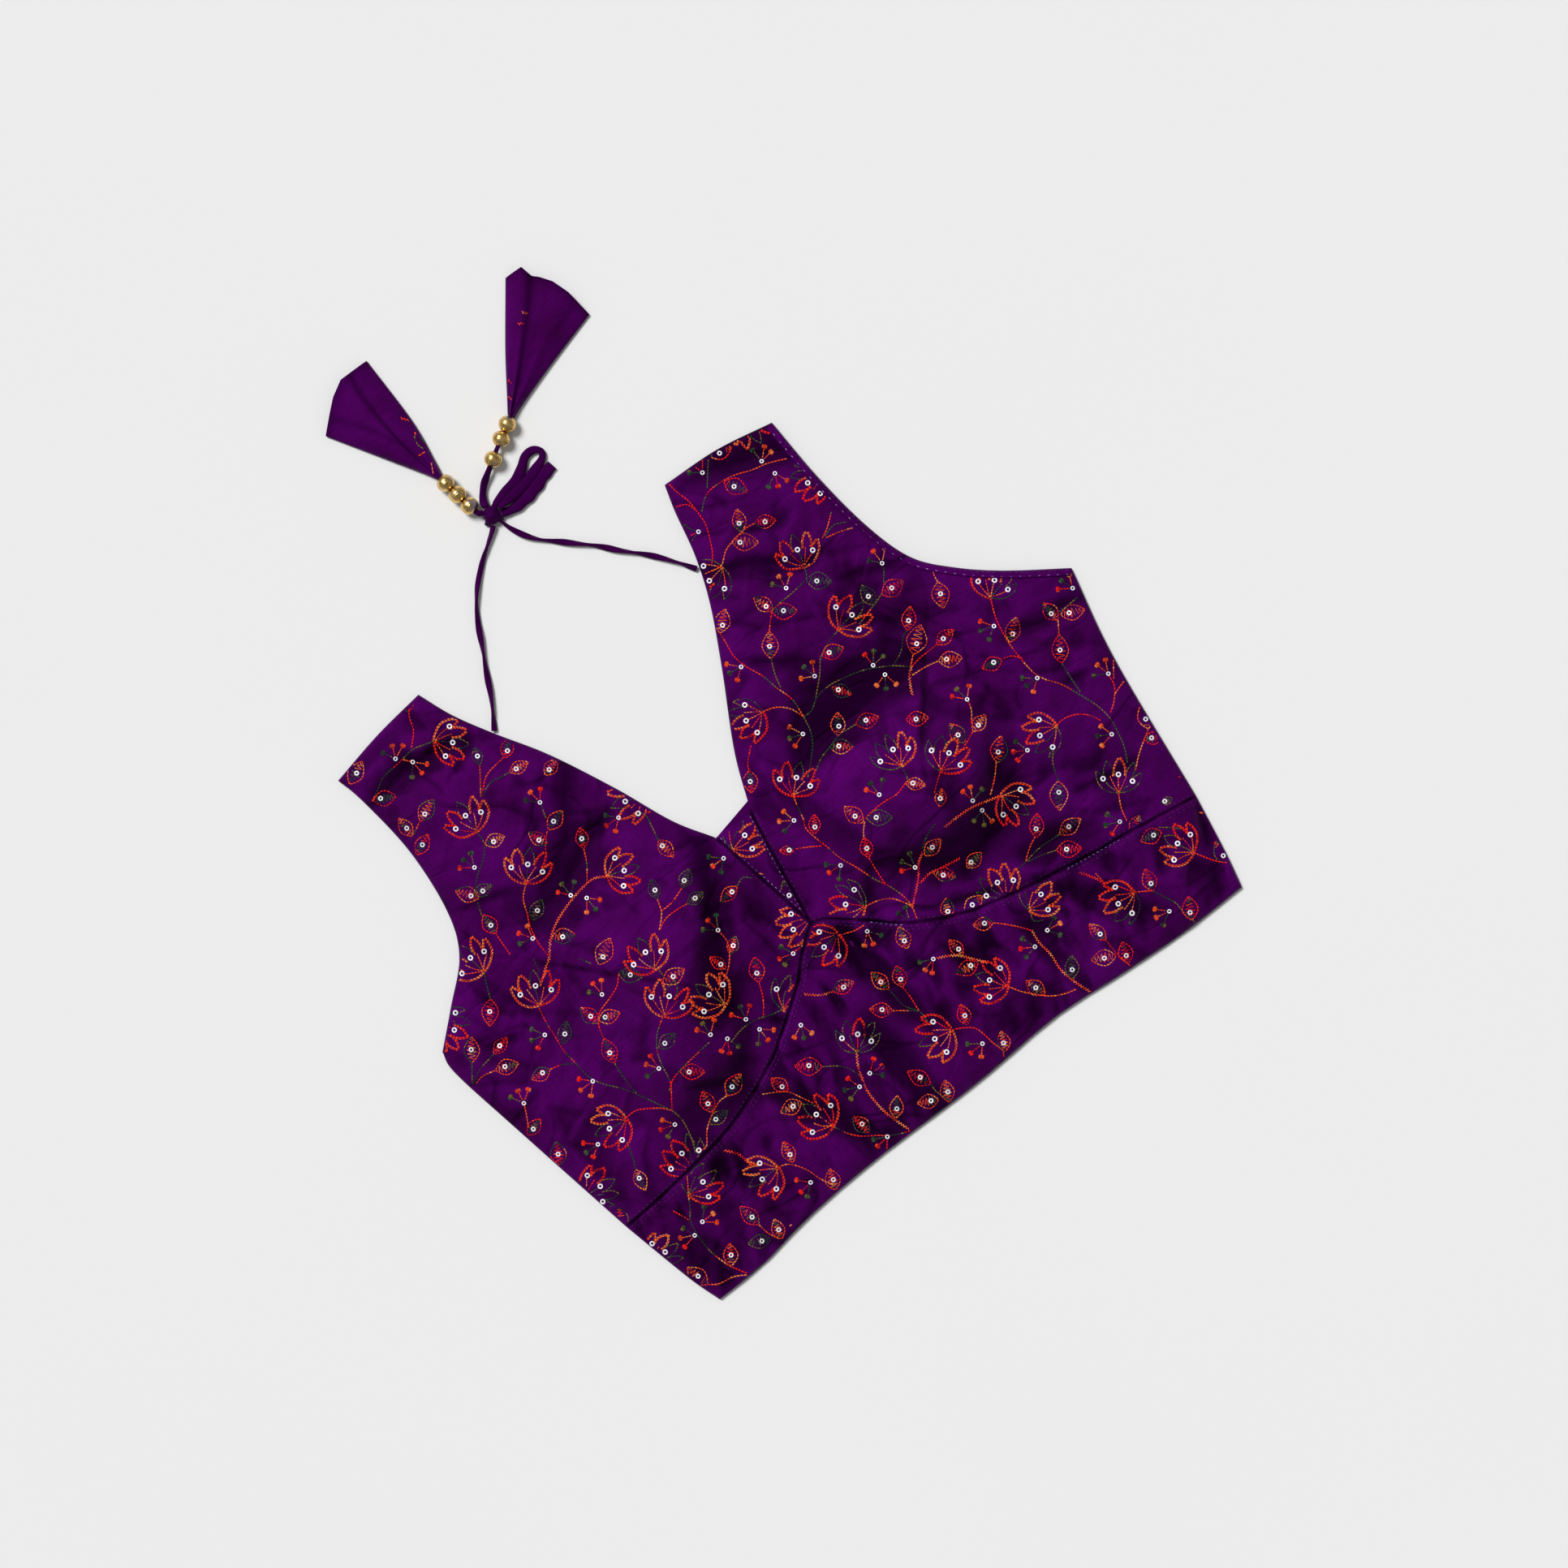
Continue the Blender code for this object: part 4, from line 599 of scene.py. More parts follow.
def outline_points(per_edge):
    """The whole outline of the front in order, anticlockwise seen from above."""
    shares = np.linspace(0.0, 1.0, per_edge)
    edges = [smooth_curve(HEM, shares), smooth_curve(SIDE_RIGHT_LOW, shares),
             smooth_curve(SIDE_RIGHT_HIGH, shares), smooth_curve(ARMHOLE_RIGHT, shares),
             smooth_curve(STRAP_TOP_RIGHT, shares)[::-1], smooth_curve(NECK_RIGHT, shares)[::-1],
             smooth_curve(NECK_LEFT, shares), smooth_curve(STRAP_TOP_LEFT, shares)[::-1],
             smooth_curve(ARMHOLE_LEFT, shares)[::-1], smooth_curve(SIDE_LEFT_HIGH, shares)[::-1],
             smooth_curve(SIDE_LEFT_LOW, shares)[::-1]]
    joined = np.vstack([edge[:-1] for edge in edges])
    step = np.linalg.norm(joined - np.roll(joined, 1, axis=0), axis=1)
    return joined[step > 0.05]


def distance_to_segment(x, y, x0, y0, x1, y1):
    """Distance from points to a segment, and the share of its length that is nearest."""
    dx, dy = x1 - x0, y1 - y0
    share = np.clip(((x - x0) * dx + (y - y0) * dy) / (dx * dx + dy * dy), 0.0, 1.0)
    return np.hypot(x - x0 - share * dx, y - y0 - share * dy), share


def inside_polygon(x, y, polygon):
    inside = np.zeros(np.shape(x), dtype=bool)
    for (x0, y0), (x1, y1) in zip(polygon, np.roll(polygon, -1, axis=0)):
        if y0 != y1:
            crosses = (y0 > y) != (y1 > y)
            inside ^= crosses & (x < (x1 - x0) * (y - y0) / (y1 - y0) + x0)
    return inside


def distance_to_line(x, y, line):
    nearest = np.full(np.shape(x), np.inf, dtype=np.float32)
    for start, end in zip(line[:-1], line[1:]):
        away, _ = distance_to_segment(x, y, start[0], start[1], end[0], end[1])
        nearest = np.minimum(nearest, away)
    return nearest


def dome_height(x, y, dome):
    turn = math.radians(dome.turn)
    across = ((x - dome.x) * math.cos(turn) + (y - dome.y) * math.sin(turn)) / dome.across
    along = (-(x - dome.x) * math.sin(turn) + (y - dome.y) * math.cos(turn)) / dome.along
    return dome.rise * np.maximum(1.0 - (across ** 2 + along ** 2) / CUP_SPREAD ** 2, 0.0) ** CUP_POWER


def fold_height(x, y, fold):
    away, share = distance_to_segment(x, y, fold.x0, fold.y0, fold.x1, fold.y1)
    width = fold.half_width * (0.72 + 0.28 * np.sin(np.pi * share))
    return fold.rise * np.exp(-(away / width) ** 2)


def crease_height(x, y, crease):
    """A fine crease that fades out at both of its ends and wanders a little."""
    wander = 1.2 * np.sin(0.11 * x + crease.x0) + 1.2 * np.sin(0.13 * y + crease.y0)
    away, share = distance_to_segment(x + wander, y - wander, crease.x0, crease.y0, crease.x1, crease.y1)
    width = crease.half_width * (0.7 + 0.6 * share)
    fade = np.sin(np.pi * np.clip(share, 0.04, 0.96)) ** 0.5
    return CREASE_GAIN * crease.rise * np.exp(-(away / width) ** 2) * fade


def smooth_noise(x, y, size, seed):
    """Soft random values from -1 to 1 that change over about the given size."""
    dice = np.random.default_rng(seed)
    table = dice.uniform(-1.0, 1.0, (64, 64))
    column, row = x / size, y / size
    i, j = np.floor(column).astype(int), np.floor(row).astype(int)
    s, t = column - i, row - j
    s, t = s * s * (3 - 2 * s), t * t * (3 - 2 * t)
    a, b = table[i % 64, j % 64], table[(i + 1) % 64, j % 64]
    c, d = table[i % 64, (j + 1) % 64], table[(i + 1) % 64, (j + 1) % 64]
    return (a * (1 - s) + b * s) * (1 - t) + (c * (1 - s) + d * s) * t


def wrinkles(x, y):
    """Sharp little handling creases: ridged noise whose lines run a few ways over the cloth."""
    total = 0.0
    for turn, size, rise, seed in WRINKLES:
        angle = math.radians(turn)
        along = x * math.cos(angle) + y * math.sin(angle)
        across = -x * math.sin(angle) + y * math.cos(angle)
        bent = across + 4.0 * smooth_noise(x, y, 31.0, seed + 50)
        ridge = (1.0 - np.abs(smooth_noise(0.34 * along, bent, size, seed))) ** 4
        patch = np.clip(0.55 + 0.9 * smooth_noise(x, y, 44.0, seed + 90), 0.0, 1.0)
        total = total + rise * patch * (ridge - 0.2)
    return total


class Surface:
    """A face that stitches are laid on; most faces leave the stitches' points as they are."""

    def turned(self, points):
        return points

    def wound(self, faces):
        return faces


class ClothField(Surface):
    """The front's outer face: distance from the outline, height and painted shade, on a grid over the plan."""

    def __init__(self):
        columns = FIELD_X + FIELD_STEP * np.arange(FIELD_COLUMNS, dtype=np.float32)
        rows = FIELD_Y + FIELD_STEP * np.arange(FIELD_ROWS, dtype=np.float32)
        x, y = np.meshgrid(columns, rows)
        outline = outline_points(22)
        away = distance_to_line(x, y, np.vstack([outline, outline[:1]]))
        self.away = np.where(inside_polygon(x, y, outline), away, -away)
        inner = np.maximum(self.away, 0.0)
        form = sum(dome_height(x, y, dome) for dome in DOMES)
        bent_x = x + HOLLOW_WANDER * smooth_noise(x, y, 14.0, SEED + 1)
        bent_y = y + HOLLOW_WANDER * smooth_noise(x, y, 14.0, SEED + 2)
        folds = sum(fold_height(bent_x, bent_y, fold) for fold in HOLLOWS)
        folds = np.maximum(folds, -4.6) + sum(fold_height(x, y, fold) for fold in FOLDS)
        form = form + folds
        held = 1.0 - np.exp(-(inner / EDGE_REACH) ** 1.5)
        near = 1.0 - np.exp(-(inner / 6.0) ** 1.5)
        height = LOFT * (1.0 - np.exp(-inner / LOFT_REACH)) + form * held
        fine = sum(crease_height(x, y, crease) for crease in CREASES)
        fine = fine + 0.35 * smooth_noise(x, y, 17.0, SEED) + wrinkles(x, y)
        height = np.maximum(height + fine * near, 0.0)
        sewn = self.seams(x, y, inner)
        self.height = FRONT_BASE + height + sewn
        # Painted shade: the silk's colour darkened where folds, creases, wrinkles, seams and gathers dip
        depth = np.minimum(folds + 0.5, 0.0) + np.minimum(4.4 * fine * near + 3.6 * sewn + 0.3, 0.0)
        self.shade = 1.0 - SHADE_DEPTH * (1.0 - np.exp(depth / SHADE_REACH))

    def seams(self, x, y, inner):
        """Groove and soft ridges of the seams, and small gathers that run down from the bust seam."""
        shares = np.linspace(0.0, 1.0, 34)
        bust = np.vstack([smooth_curve(SEAM_LEFT, shares), smooth_curve(SEAM_RIGHT, shares)[1:]])
        away = distance_to_line(x, y, bust)
        relief = -1.4 * np.exp(-(away / 0.8) ** 2) + 0.40 * np.exp(-((away - 2.6) / 1.8) ** 2)
        drop = np.interp(x, bust[:, 0], bust[:, 1]) - y
        lean = x + (0.1 + 0.002 * np.abs(x)) * drop + 3.0 * smooth_noise(x, y, 21.0, SEED + 3)
        broad = smooth_noise(lean, 0.40 * y, 9.0, SEED + 24)
        narrow = smooth_noise(lean + 3.0, 0.34 * y, 4.6, SEED + 25)
        below = np.interp(drop, [-0.1, 0.0, 3.0, 70.0], [0.0, 1.0, 1.0, 0.55])
        relief = relief + GATHER_RISE * (0.75 * broad + 0.6 * narrow) * below
        for edge in (GUSSET_LEFT, GUSSET_RIGHT):
            away = distance_to_line(x, y, smooth_curve(edge, np.linspace(0.0, 1.0, 8)))
            relief = relief - 1.1 * np.exp(-(away / 0.8) ** 2) + 0.3 * np.exp(-((away - 2.2) / 1.5) ** 2)
        return relief * (1.0 - np.exp(-(inner / 1.5) ** 2))

    def read(self, values, x, y):
        column = np.clip((np.asarray(x) - FIELD_X) / FIELD_STEP, 0, FIELD_COLUMNS - 1.001)
        row = np.clip((np.asarray(y) - FIELD_Y) / FIELD_STEP, 0, FIELD_ROWS - 1.001)
        i, j = column.astype(int), row.astype(int)
        s, t = column - i, row - j
        lower = values[j, i] * (1 - s) + values[j, i + 1] * s
        upper = values[j + 1, i] * (1 - s) + values[j + 1, i + 1] * s
        return lower * (1 - t) + upper * t

    def top(self, x, y):
        """Height of the outer face, rounded down over the turned edge."""
        away = np.clip(self.read(self.away, x, y), 0.0, TURN_RADIUS)
        drop = TURN_RADIUS - np.sqrt(TURN_RADIUS ** 2 - (TURN_RADIUS - away) ** 2)
        return self.read(self.height, x, y) - drop


def shares_along(length, start_fine, end_fine, step=GRID_STEP):
    """Shares of a length with even steps, and finer ones near an end that is turned or sewn."""
    margin = EDGE_STEPS[-1] + step
    first = [0.0] + (EDGE_STEPS if start_fine else [])
    last = ([length - d for d in EDGE_STEPS[::-1]] if end_fine else []) + [length]
    low = margin if start_fine else step
    high = length - (margin if end_fine else step)
    middle = np.linspace(low, high, max(int(round((high - low) / step)), 2))
    return np.concatenate([first, middle, last]) / length


def grid_quads(rows, columns, start, flip):
    number = start + np.arange(rows * columns).reshape(rows, columns)
    quads = np.stack([number[:-1, :-1], number[:-1, 1:], number[1:, 1:], number[1:, :-1]], axis=-1)
    quads = quads.reshape(-1, 4)
    return quads[:, ::-1] if flip else quads


def ring_quads(rings, size, start=0, closed=False):
    """Faces between rings of points that follow each other, and back to the first if closed."""
    number = np.arange(size)
    following = np.roll(number, -1)
    quads = []
    for i in range(rings if closed else rings - 1):
        here, there = start + i * size, start + (i + 1) % rings * size
        quads.append(np.stack([here + number, here + following, there + following, there + number], axis=1))
    return np.vstack(quads)


def rim_loop(rows, columns):
    number = np.arange(rows * columns).reshape(rows, columns)
    return np.concatenate([number[0, :-1], number[:-1, -1], number[-1, :0:-1], number[:0:-1, 0]])


def shell(name, plan, top, under, material):
    """A closed thin cloth: an outer grid, an inner one, and a wall round their edge."""
    rows, columns = plan.shape[:2]
    count = rows * columns
    flat = plan.reshape(-1, 2)
    points = np.vstack([np.column_stack([flat, top.reshape(-1)]), np.column_stack([flat, under.reshape(-1)])])
    loop = rim_loop(rows, columns)
    following = np.roll(loop, -1)
    rim = np.stack([count + loop, count + following, following, loop], axis=1)
    quads = np.vstack([grid_quads(rows, columns, 0, False), grid_quads(rows, columns, count, True), rim])
    item = make_object(name, points, quads=quads, material=material)
    item.data.set_sharp_from_angle(angle=math.radians(60))
    return item


def hold_colours(item, name, colours):
    """Keeps a colour at each point of a piece, for its material to read by name."""
    layer = item.data.color_attributes.new(name, "FLOAT_COLOR", "POINT")
    layer.data.foreach_set("color", colours.ravel())


def hold_shade(item, values):
    """Keeps at each point of a silk piece the painted shade of its cloth there."""
    shades = np.ones((len(values), 4))
    shades[:, :3] = np.asarray(values)[:, None]
    hold_colours(item, "shade", shades)


def cloth_panel(name, plan, cloth, material):
    top = cloth.top(plan[..., 0], plan[..., 1])
    under = np.maximum(top - CLOTH_WALL, INNER_FLOOR)
    item = shell(name, plan, top, np.minimum(under, top - 0.08), material)
    # The painted shade of the cloth at each point, on both of its faces
    shade = cloth.read(cloth.shade, plan[..., 0], plan[..., 1]).ravel()
    hold_shade(item, np.concatenate([shade, shade]))
    return item


def front_panel(seam, side_low, side_high, strap_top, up_low, up_high, across):
    """Plan grid of a front: side_low and side_high are pairs of its left and right edges."""
    middle = straight(side_low[0][-1], side_low[1][-1], across)
    lower = coons(seam, middle, side_low[0], side_low[1], across, up_low)
    upper = coons(middle, strap_top, side_high[0], side_high[1], across, up_high)
    return np.vstack([lower, upper[1:]])


def build_panels(cloth, materials):
    """The two fronts, the gusset and the band as thin cloth, and the plan rim of each."""
    across = shares_along(206.0, True, True)
    low = shares_along(146.0, True, False)
    high = shares_along(176.0, False, True)
    apart = SEAM_GAP * HALF
    plans = {}

    seam_left = smooth_curve(SEAM_LEFT, across)
    seam = offset(seam_left, apart)
    seam[-1, 0] = GUSSET_TIP.x - apart
    inner = offset(smooth_curve(GUSSET_LEFT, low), apart)
    inner[0] = seam[-1]
    side = smooth_curve(SIDE_LEFT_HIGH, low)
    side[0] = seam[0]
    neck = smooth_curve(NECK_LEFT, high)
    neck[0] = inner[-1]
    plan = front_panel(seam, (side, inner), (smooth_curve(ARMHOLE_LEFT, high), neck),
                       smooth_curve(STRAP_TOP_LEFT, across), low, high, across)
    plans["front_left"] = plan

    seam_right = smooth_curve(SEAM_RIGHT, across)
    seam = offset(seam_right, apart)
    seam[0, 0] = GUSSET_TIP.x + apart
    inner = offset(smooth_curve(GUSSET_RIGHT, low), -apart)
    inner[0] = seam[0]
    side = smooth_curve(SIDE_RIGHT_HIGH, low)
    side[0] = seam[-1]
    neck = smooth_curve(NECK_RIGHT, high)
    neck[0] = inner[-1]
    plan = front_panel(seam, (inner, side), (neck, smooth_curve(ARMHOLE_RIGHT, high)),
                       smooth_curve(STRAP_TOP_RIGHT, across), low, high, across)
    plans["front_right"] = plan

    up = GUSSET_START + (1.0 - GUSSET_START) * shares_along(70.0, False, True, 1.6)
    edge_left = offset(smooth_curve(GUSSET_LEFT, up), -apart)
    edge_right = offset(smooth_curve(GUSSET_RIGHT, up), apart)
    share = np.linspace(0.0, 1.0, 17)
    plan = np.stack([straight(a, b, share) for a, b in zip(edge_left, edge_right)])
    plans["centre_gusset"] = plan

    top = offset(np.vstack([seam_left, seam_right[1:]]), -apart)
    width = np.concatenate([across * HALF, HALF + across[1:] * HALF])
    hem_share = np.concatenate([across * TIP_SHARE, TIP_SHARE + across[1:] * (1 - TIP_SHARE)])
    down = shares_along(68.0, True, True, 1.9)
    left = smooth_curve(SIDE_LEFT_LOW, down)
    left[-1] = top[0]
    right = smooth_curve(SIDE_RIGHT_LOW, down)
    right[-1] = top[-1]
    plan = coons(smooth_curve(HEM, hem_share), top, left, right, width, down)
    plans["front_band"] = plan
    pieces = {node: cloth_panel("cloth_" + node, plan, cloth, materials[node])
              for node, plan in plans.items()}
    rims = {node: plan.reshape(-1, 2)[rim_loop(*plan.shape[:2])] for node, plan in plans.items()}
    return pieces, rims


def build_back(material):
    """The flat back panel with a rounded folded edge, its embroidered face on the table."""
    outline = outline_points(30)
    closed = np.vstack([outline[-1:], outline, outline[:1]])
    profile = [(1.1, 0.42), (0.62, 0.46), (0.36, 0.62), (0.30, 0.92), (0.36, 1.2), (0.62, 1.36), (1.1, 1.4)]
    rings = []
    for inset, z in profile:
        ring = offset(closed, inset)[1:-1]
        rings.append(np.column_stack([ring, np.full(len(ring), z)]))
    count = len(outline)
    points = np.vstack(rings)
    quads = ring_quads(len(rings), count)
    item = make_object("cloth_back", points, quads=quads, material=material)
    faces = [list(range(count))[::-1], list(range((len(rings) - 1) * count, len(rings) * count))]
    fill_faces(item.data, faces)
    hold_shade(item, np.ones(len(points)))
    return item


def fill_faces(mesh, loops):
    """Closes a mesh with flat many-sided faces through the given loops of vertices."""
    body = bmesh.new()
    body.from_mesh(mesh)
    body.verts.ensure_lookup_table()
    for loop in loops:
        face = body.faces.new([body.verts[i] for i in loop])
        face.smooth = False
    bmesh.ops.recalc_face_normals(body, faces=body.faces)
    body.to_mesh(mesh)
    body.free()


def build_facing(cloth, material):
    """The stitched strip along the right armhole, with a soft edge on both of its sides."""
    edge = offset(smooth_curve(ARMHOLE_RIGHT, np.linspace(0.004, 0.996, 150)), 0.1)
    shares = [0.0, 0.03, 0.09, 0.2, 0.4, 0.6, 0.8, 0.91, 0.97, 1.0]
    inner = offset(edge, FACING_WIDTH)
    plan = np.stack([straight(a, b, shares) for a, b in zip(edge, inner)])
    crown = np.array([-0.55, -0.2, 0.02, 0.18, 0.1, 0.1, 0.18, 0.05, -0.2, -0.55])
    middle = np.array([0, 0, 0.3, 0.8, 1, 1, 0.8, 0.3, 0, 0])
    ripple = 0.12 * np.sin(np.linspace(0.0, 74.0, len(edge)))[:, None] * middle
    top = cloth.top(plan[..., 0], plan[..., 1]) + 0.55 + 0.5 + crown[None] + ripple
    item = shell("cloth_facing_right", plan, top, top - 0.5 - crown[None] - 0.25, material)
    hold_shade(item, np.ones(2 * top.size))
    return item


def frames_along(line):
    """Side and up directions along a line that lies roughly flat."""
    along = np.gradient(line, axis=0)
    along /= np.linalg.norm(along, axis=1)[:, None]
    side = np.stack([-along[:, 1], along[:, 0], np.zeros(len(line))], axis=1)
    side /= np.linalg.norm(side, axis=1)[:, None]
    return along, side, np.cross(along, side)


def ribbon_tube(name, route, width, thickness, turns, points, material, ring=14, taper=None):
    """A folded, twisted silk string as a closed flat tube along a smooth curve."""
    shares = np.linspace(0.0, 1.0, points)
    line = smooth_curve(route, shares)
    _, side, up = frames_along(line)
    angle = 2 * np.pi * np.arange(ring) / ring
    vertices = []
    for i, here in enumerate(line):
        twist = turns(shares[i]) if callable(turns) else turns * shares[i]
        scale = taper(shares[i]) if taper else 1.0
        wide = width * HALF * scale * (1 + 0.08 * math.sin(31.0 * shares[i]))
        thick = thickness * HALF * (1 + 0.07 * math.sin(23.0 * shares[i] + 1.0))
        across = wide * np.sign(np.cos(angle)) * np.abs(np.cos(angle)) ** 0.8
        rise = thick * np.sin(angle) * (1 - 0.22 * np.exp(-(np.cos(angle) / 0.3) ** 2) * (np.sin(angle) > 0))
        turn = 2 * math.pi * twist
        a = across * math.cos(turn) - rise * math.sin(turn)
        b = across * math.sin(turn) + rise * math.cos(turn)
        ring_points = here + side[i] * a[:, None] + up[i] * b[:, None]
        lowest = ring_points[:, 2].min()
        if lowest < 0.05:
            ring_points[:, 2] += 0.05 - lowest
        vertices.append(ring_points)
    vertices = np.vstack(vertices)
    start, end = vertices[:ring].mean(axis=0), vertices[-ring:].mean(axis=0)
    number = np.arange(ring)
    following = np.roll(number, -1)
    quads = ring_quads(points, ring)
    last = (points - 1) * ring
    caps = np.vstack([np.stack([following, number, np.full(ring, len(vertices))], axis=1),
                      np.stack([last + number, last + following, np.full(ring, len(vertices) + 1)], axis=1)])
    item = make_object(name, np.vstack([vertices, start, end]), quads=quads, triangles=caps,
                       material=material)
    item.data.set_sharp_from_angle(angle=math.radians(70))
    return item, line


def build_bead(bead, material):
    """A turned brass bead: two pressed halves that meet in a seam, with rolled rims at its hole."""
    profile = [(0.96, 0.30), (1.0, 0.36), (0.985, 0.44), (0.9, 0.56), (0.74, 0.74), (0.52, 0.88),
               (0.28, 0.965), (0.1, 0.995), (0.035, 0.995), (0.0, 0.965), (-0.035, 0.995), (-0.1, 0.995),
               (-0.28, 0.965), (-0.52, 0.88), (-0.74, 0.74), (-0.9, 0.56), (-0.985, 0.44), (-1.0, 0.36),
               (-0.96, 0.30)]
    segments = 28
    radius = BEAD_DIAMETER * HALF
    half = BEAD_LENGTH * HALF
    size = math.hypot(bead.toward_x, bead.toward_y)
    along = np.array([bead.toward_x / size, bead.toward_y / size, 0.0])
    side = np.array([-along[1], along[0], 0.0])
    up = np.array([0.0, 0.0, 1.0])
    centre = np.array([bead.x, bead.y, radius])
    angle = 2 * np.pi * np.arange(segments) / segments
    circle = side * np.cos(angle)[:, None] + up * np.sin(angle)[:, None]
    vertices = np.vstack([centre + along * reach * half + circle * wide * radius for reach, wide in profile])
    quads = ring_quads(len(profile), segments, closed=True)[:, ::-1]
    return make_object(bead.name.replace("bead", "brass_bead"), vertices, quads=quads, material=material)


class Embroidery:
    """Collects the stitches and sequins of one panel, then lays them on its cloth."""

    def __init__(self, seed):
        self.dice = np.random.default_rng(seed)
        self.stitches = []
        self.sequins = []

    def stitch(self, start, end, width, colour):
        self.stitches.append((start[0], start[1], end[0], end[1], width, *colour))

    def colours(self, letter, count):
        """A variegated thread: colours that stay alike over a few stitches, then change."""
        letters = "rog" if letter == "m" else letter
        kind = letters[self.dice.integers(len(letters))]
        shade = self.dice.integers(len(THREADS[kind]))
        picked = []
        for _ in range(count):
            if self.dice.random() < 0.25:
                kind = letters[self.dice.integers(len(letters))]
            if self.dice.random() < 0.4:
                shade = self.dice.integers(len(THREADS[kind]))
            picked.append(np.array(THREADS[kind][shade]) * self.dice.uniform(0.8, 1.15))
        return picked

    def run(self, line, letter, width=STITCH_WIDTH, length=STITCH_LENGTH, aside=0.0):
        """Running stitches along a line, each slanted a little like the strands of a rope."""
        count = max(int(round(line_length(np.array(line, dtype=float)) / length)), 1)
        knots = smooth_curve(line, np.linspace(0.0, 1.0, count + 1))
        along = np.diff(knots, axis=0)
        along /= np.maximum(np.linalg.norm(along, axis=1), 1e-6)[:, None]
        normal = np.stack([-along[:, 1], along[:, 0]], axis=1)
        shades = self.colours(letter, count)
        for i in range(count):
            slant = self.dice.uniform(0.08, 0.26)
            start = knots[i] - 0.12 * along[i] + (aside + slant) * normal[i]
            end = knots[i + 1] + 0.12 * along[i] + (aside - slant) * normal[i]
            self.stitch(start, end, width * self.dice.uniform(0.85, 1.12), shades[i])

    def satin(self, line, letter, width=SATIN_WIDTH, step=0.85):
        """A thick stem: stitches that cross the line aslant, to and fro."""
        count = max(int(round(line_length(np.array(line, dtype=float)) / step)), 2)
        knots = smooth_curve(line, np.linspace(0.0, 1.0, count + 1))
        along = np.gradient(knots, axis=0)
        along /= np.linalg.norm(along, axis=1)[:, None]
        normal = np.stack([-along[:, 1], along[:, 0]], axis=1)
        shades = self.colours(letter, count)
        for i in range(count):
            side = 1.0 if i % 2 else -1.0
            reach = HALF * width * self.dice.uniform(0.7, 1.1)
            self.stitch(knots[i] - side * reach * normal[i] - 0.5 * along[i],
                        knots[i + 1] + side * reach * normal[i] + 0.5 * along[i], 0.72, shades[i])

    def sequin(self, x, y, size=1.0):
        self.sequins.append((x, y, size, self.dice.uniform(0.0, math.pi)))

    def flower(self, flower):
        """A lotus seen from the side: outlined petals, vein lines from its base, three sequins."""
        turn = math.radians(flower.turn)
        ahead = np.array([math.cos(turn), math.sin(turn)])
        right = np.array([ahead[1], -ahead[0]])
        size = self.dice.uniform(0.93, 1.03)

        def spot(point):
            wobble = self.dice.uniform(-0.35, 0.35, 2)
            return np.array([flower.x, flower.y]) + size * (point[0] * right + point[1] * ahead) + wobble

        def colour_at(across):
            return flower.colours[0 if across < -3.4 else 1 if across < 4.8 else 2]

        for line in PETAL_LINES:
            letter = colour_at(np.mean([point[0] for point in line]))
            spots = [spot(point) for point in line]
            self.run(spots, letter, width=1.0)
            if letter != "g":
                self.run(spots, letter, width=0.9, length=1.8, aside=0.7)
        for line in VEIN_LINES:
            letter = "o" if self.dice.random() < 0.5 else colour_at(line[-1][0])
            self.run([spot(point) for point in line], letter, width=0.85, length=1.8)
        for point in FLOWER_SEQUINS:
            x, y = spot(point)
            self.sequin(x, y)

    def leaf(self, leaf):
        """An almond outline filled with a zigzag line, and a sequin near its middle."""
        base = np.array([leaf.x, leaf.y], dtype=float)
        tip = np.array([leaf.tip_x, leaf.tip_y], dtype=float)
        ahead = tip - base
        length = np.linalg.norm(ahead)
        side = np.array([-ahead[1], ahead[0]]) / length
        half = LEAF_SLIMNESS * length * self.dice.uniform(0.9, 1.08)
        shape = [(0.0, 0.0), (0.16, 0.55), (0.44, 1.0), (0.74, 0.66), (1.0, 0.0)]
        fill = self.colours("roog" if leaf.colour == "m" else 2 * leaf.colour + "g", LEAF_LINES)
        for sign in (1.0, -1.0):
            outline = [base + share * ahead + sign * half * wide * side for share, wide in shape]
            self.run(outline, leaf.colour, width=0.95)
        shares = np.linspace(0.12, 0.92, LEAF_LINES + 1)
        for i in range(LEAF_LINES):
            sign = 1.0 if i % 2 else -1.0
            here = np.interp(shares[i], [0.0, 0.42, 1.0], [0.3, 0.86, 0.2])
            there = np.interp(shares[i + 1], [0.0, 0.42, 1.0], [0.3, 0.86, 0.2])
            self.stitch(base + shares[i] * ahead + sign * half * here * side,
                        base + shares[i + 1] * ahead - sign * half * there * side, 0.56, fill[i])
        spot = base + self.dice.uniform(0.3, 0.5) * ahead + self.dice.uniform(-0.12, 0.12) * half * side
        self.sequin(spot[0], spot[1], 0.9)

    def spray(self, spray):
        """A ring with three short stalks that each end in a satin berry."""
        centre = np.array([spray.x, spray.y], dtype=float)
        for letter, spread in zip(spray.colours, (BERRY_SPREAD, 0.0, -BERRY_SPREAD)):
            turn = math.radians(spray.turn + spread + self.dice.uniform(-7.0, 7.0))
            ahead = np.array([math.cos(turn), math.sin(turn)])
            side = np.array([-ahead[1], ahead[0]])
            reach = BERRY_REACH * self.dice.uniform(0.92, 1.06)
            self.run([centre + 1.9 * ahead, centre + (reach - 1.2) * ahead], letter, width=0.9, length=1.6)
            for shade, shift in zip(self.colours(letter, 5), (-1.25, -0.65, 0.0, 0.65, 1.25)):
                half = 1.75 * math.sqrt(1.0 - (shift / 1.9) ** 2)
                middle = centre + reach * ahead + shift * side
                self.stitch(middle - half * ahead, middle + half * ahead, 0.86, shade)
        self.sequin(spray.x, spray.y, 0.82)

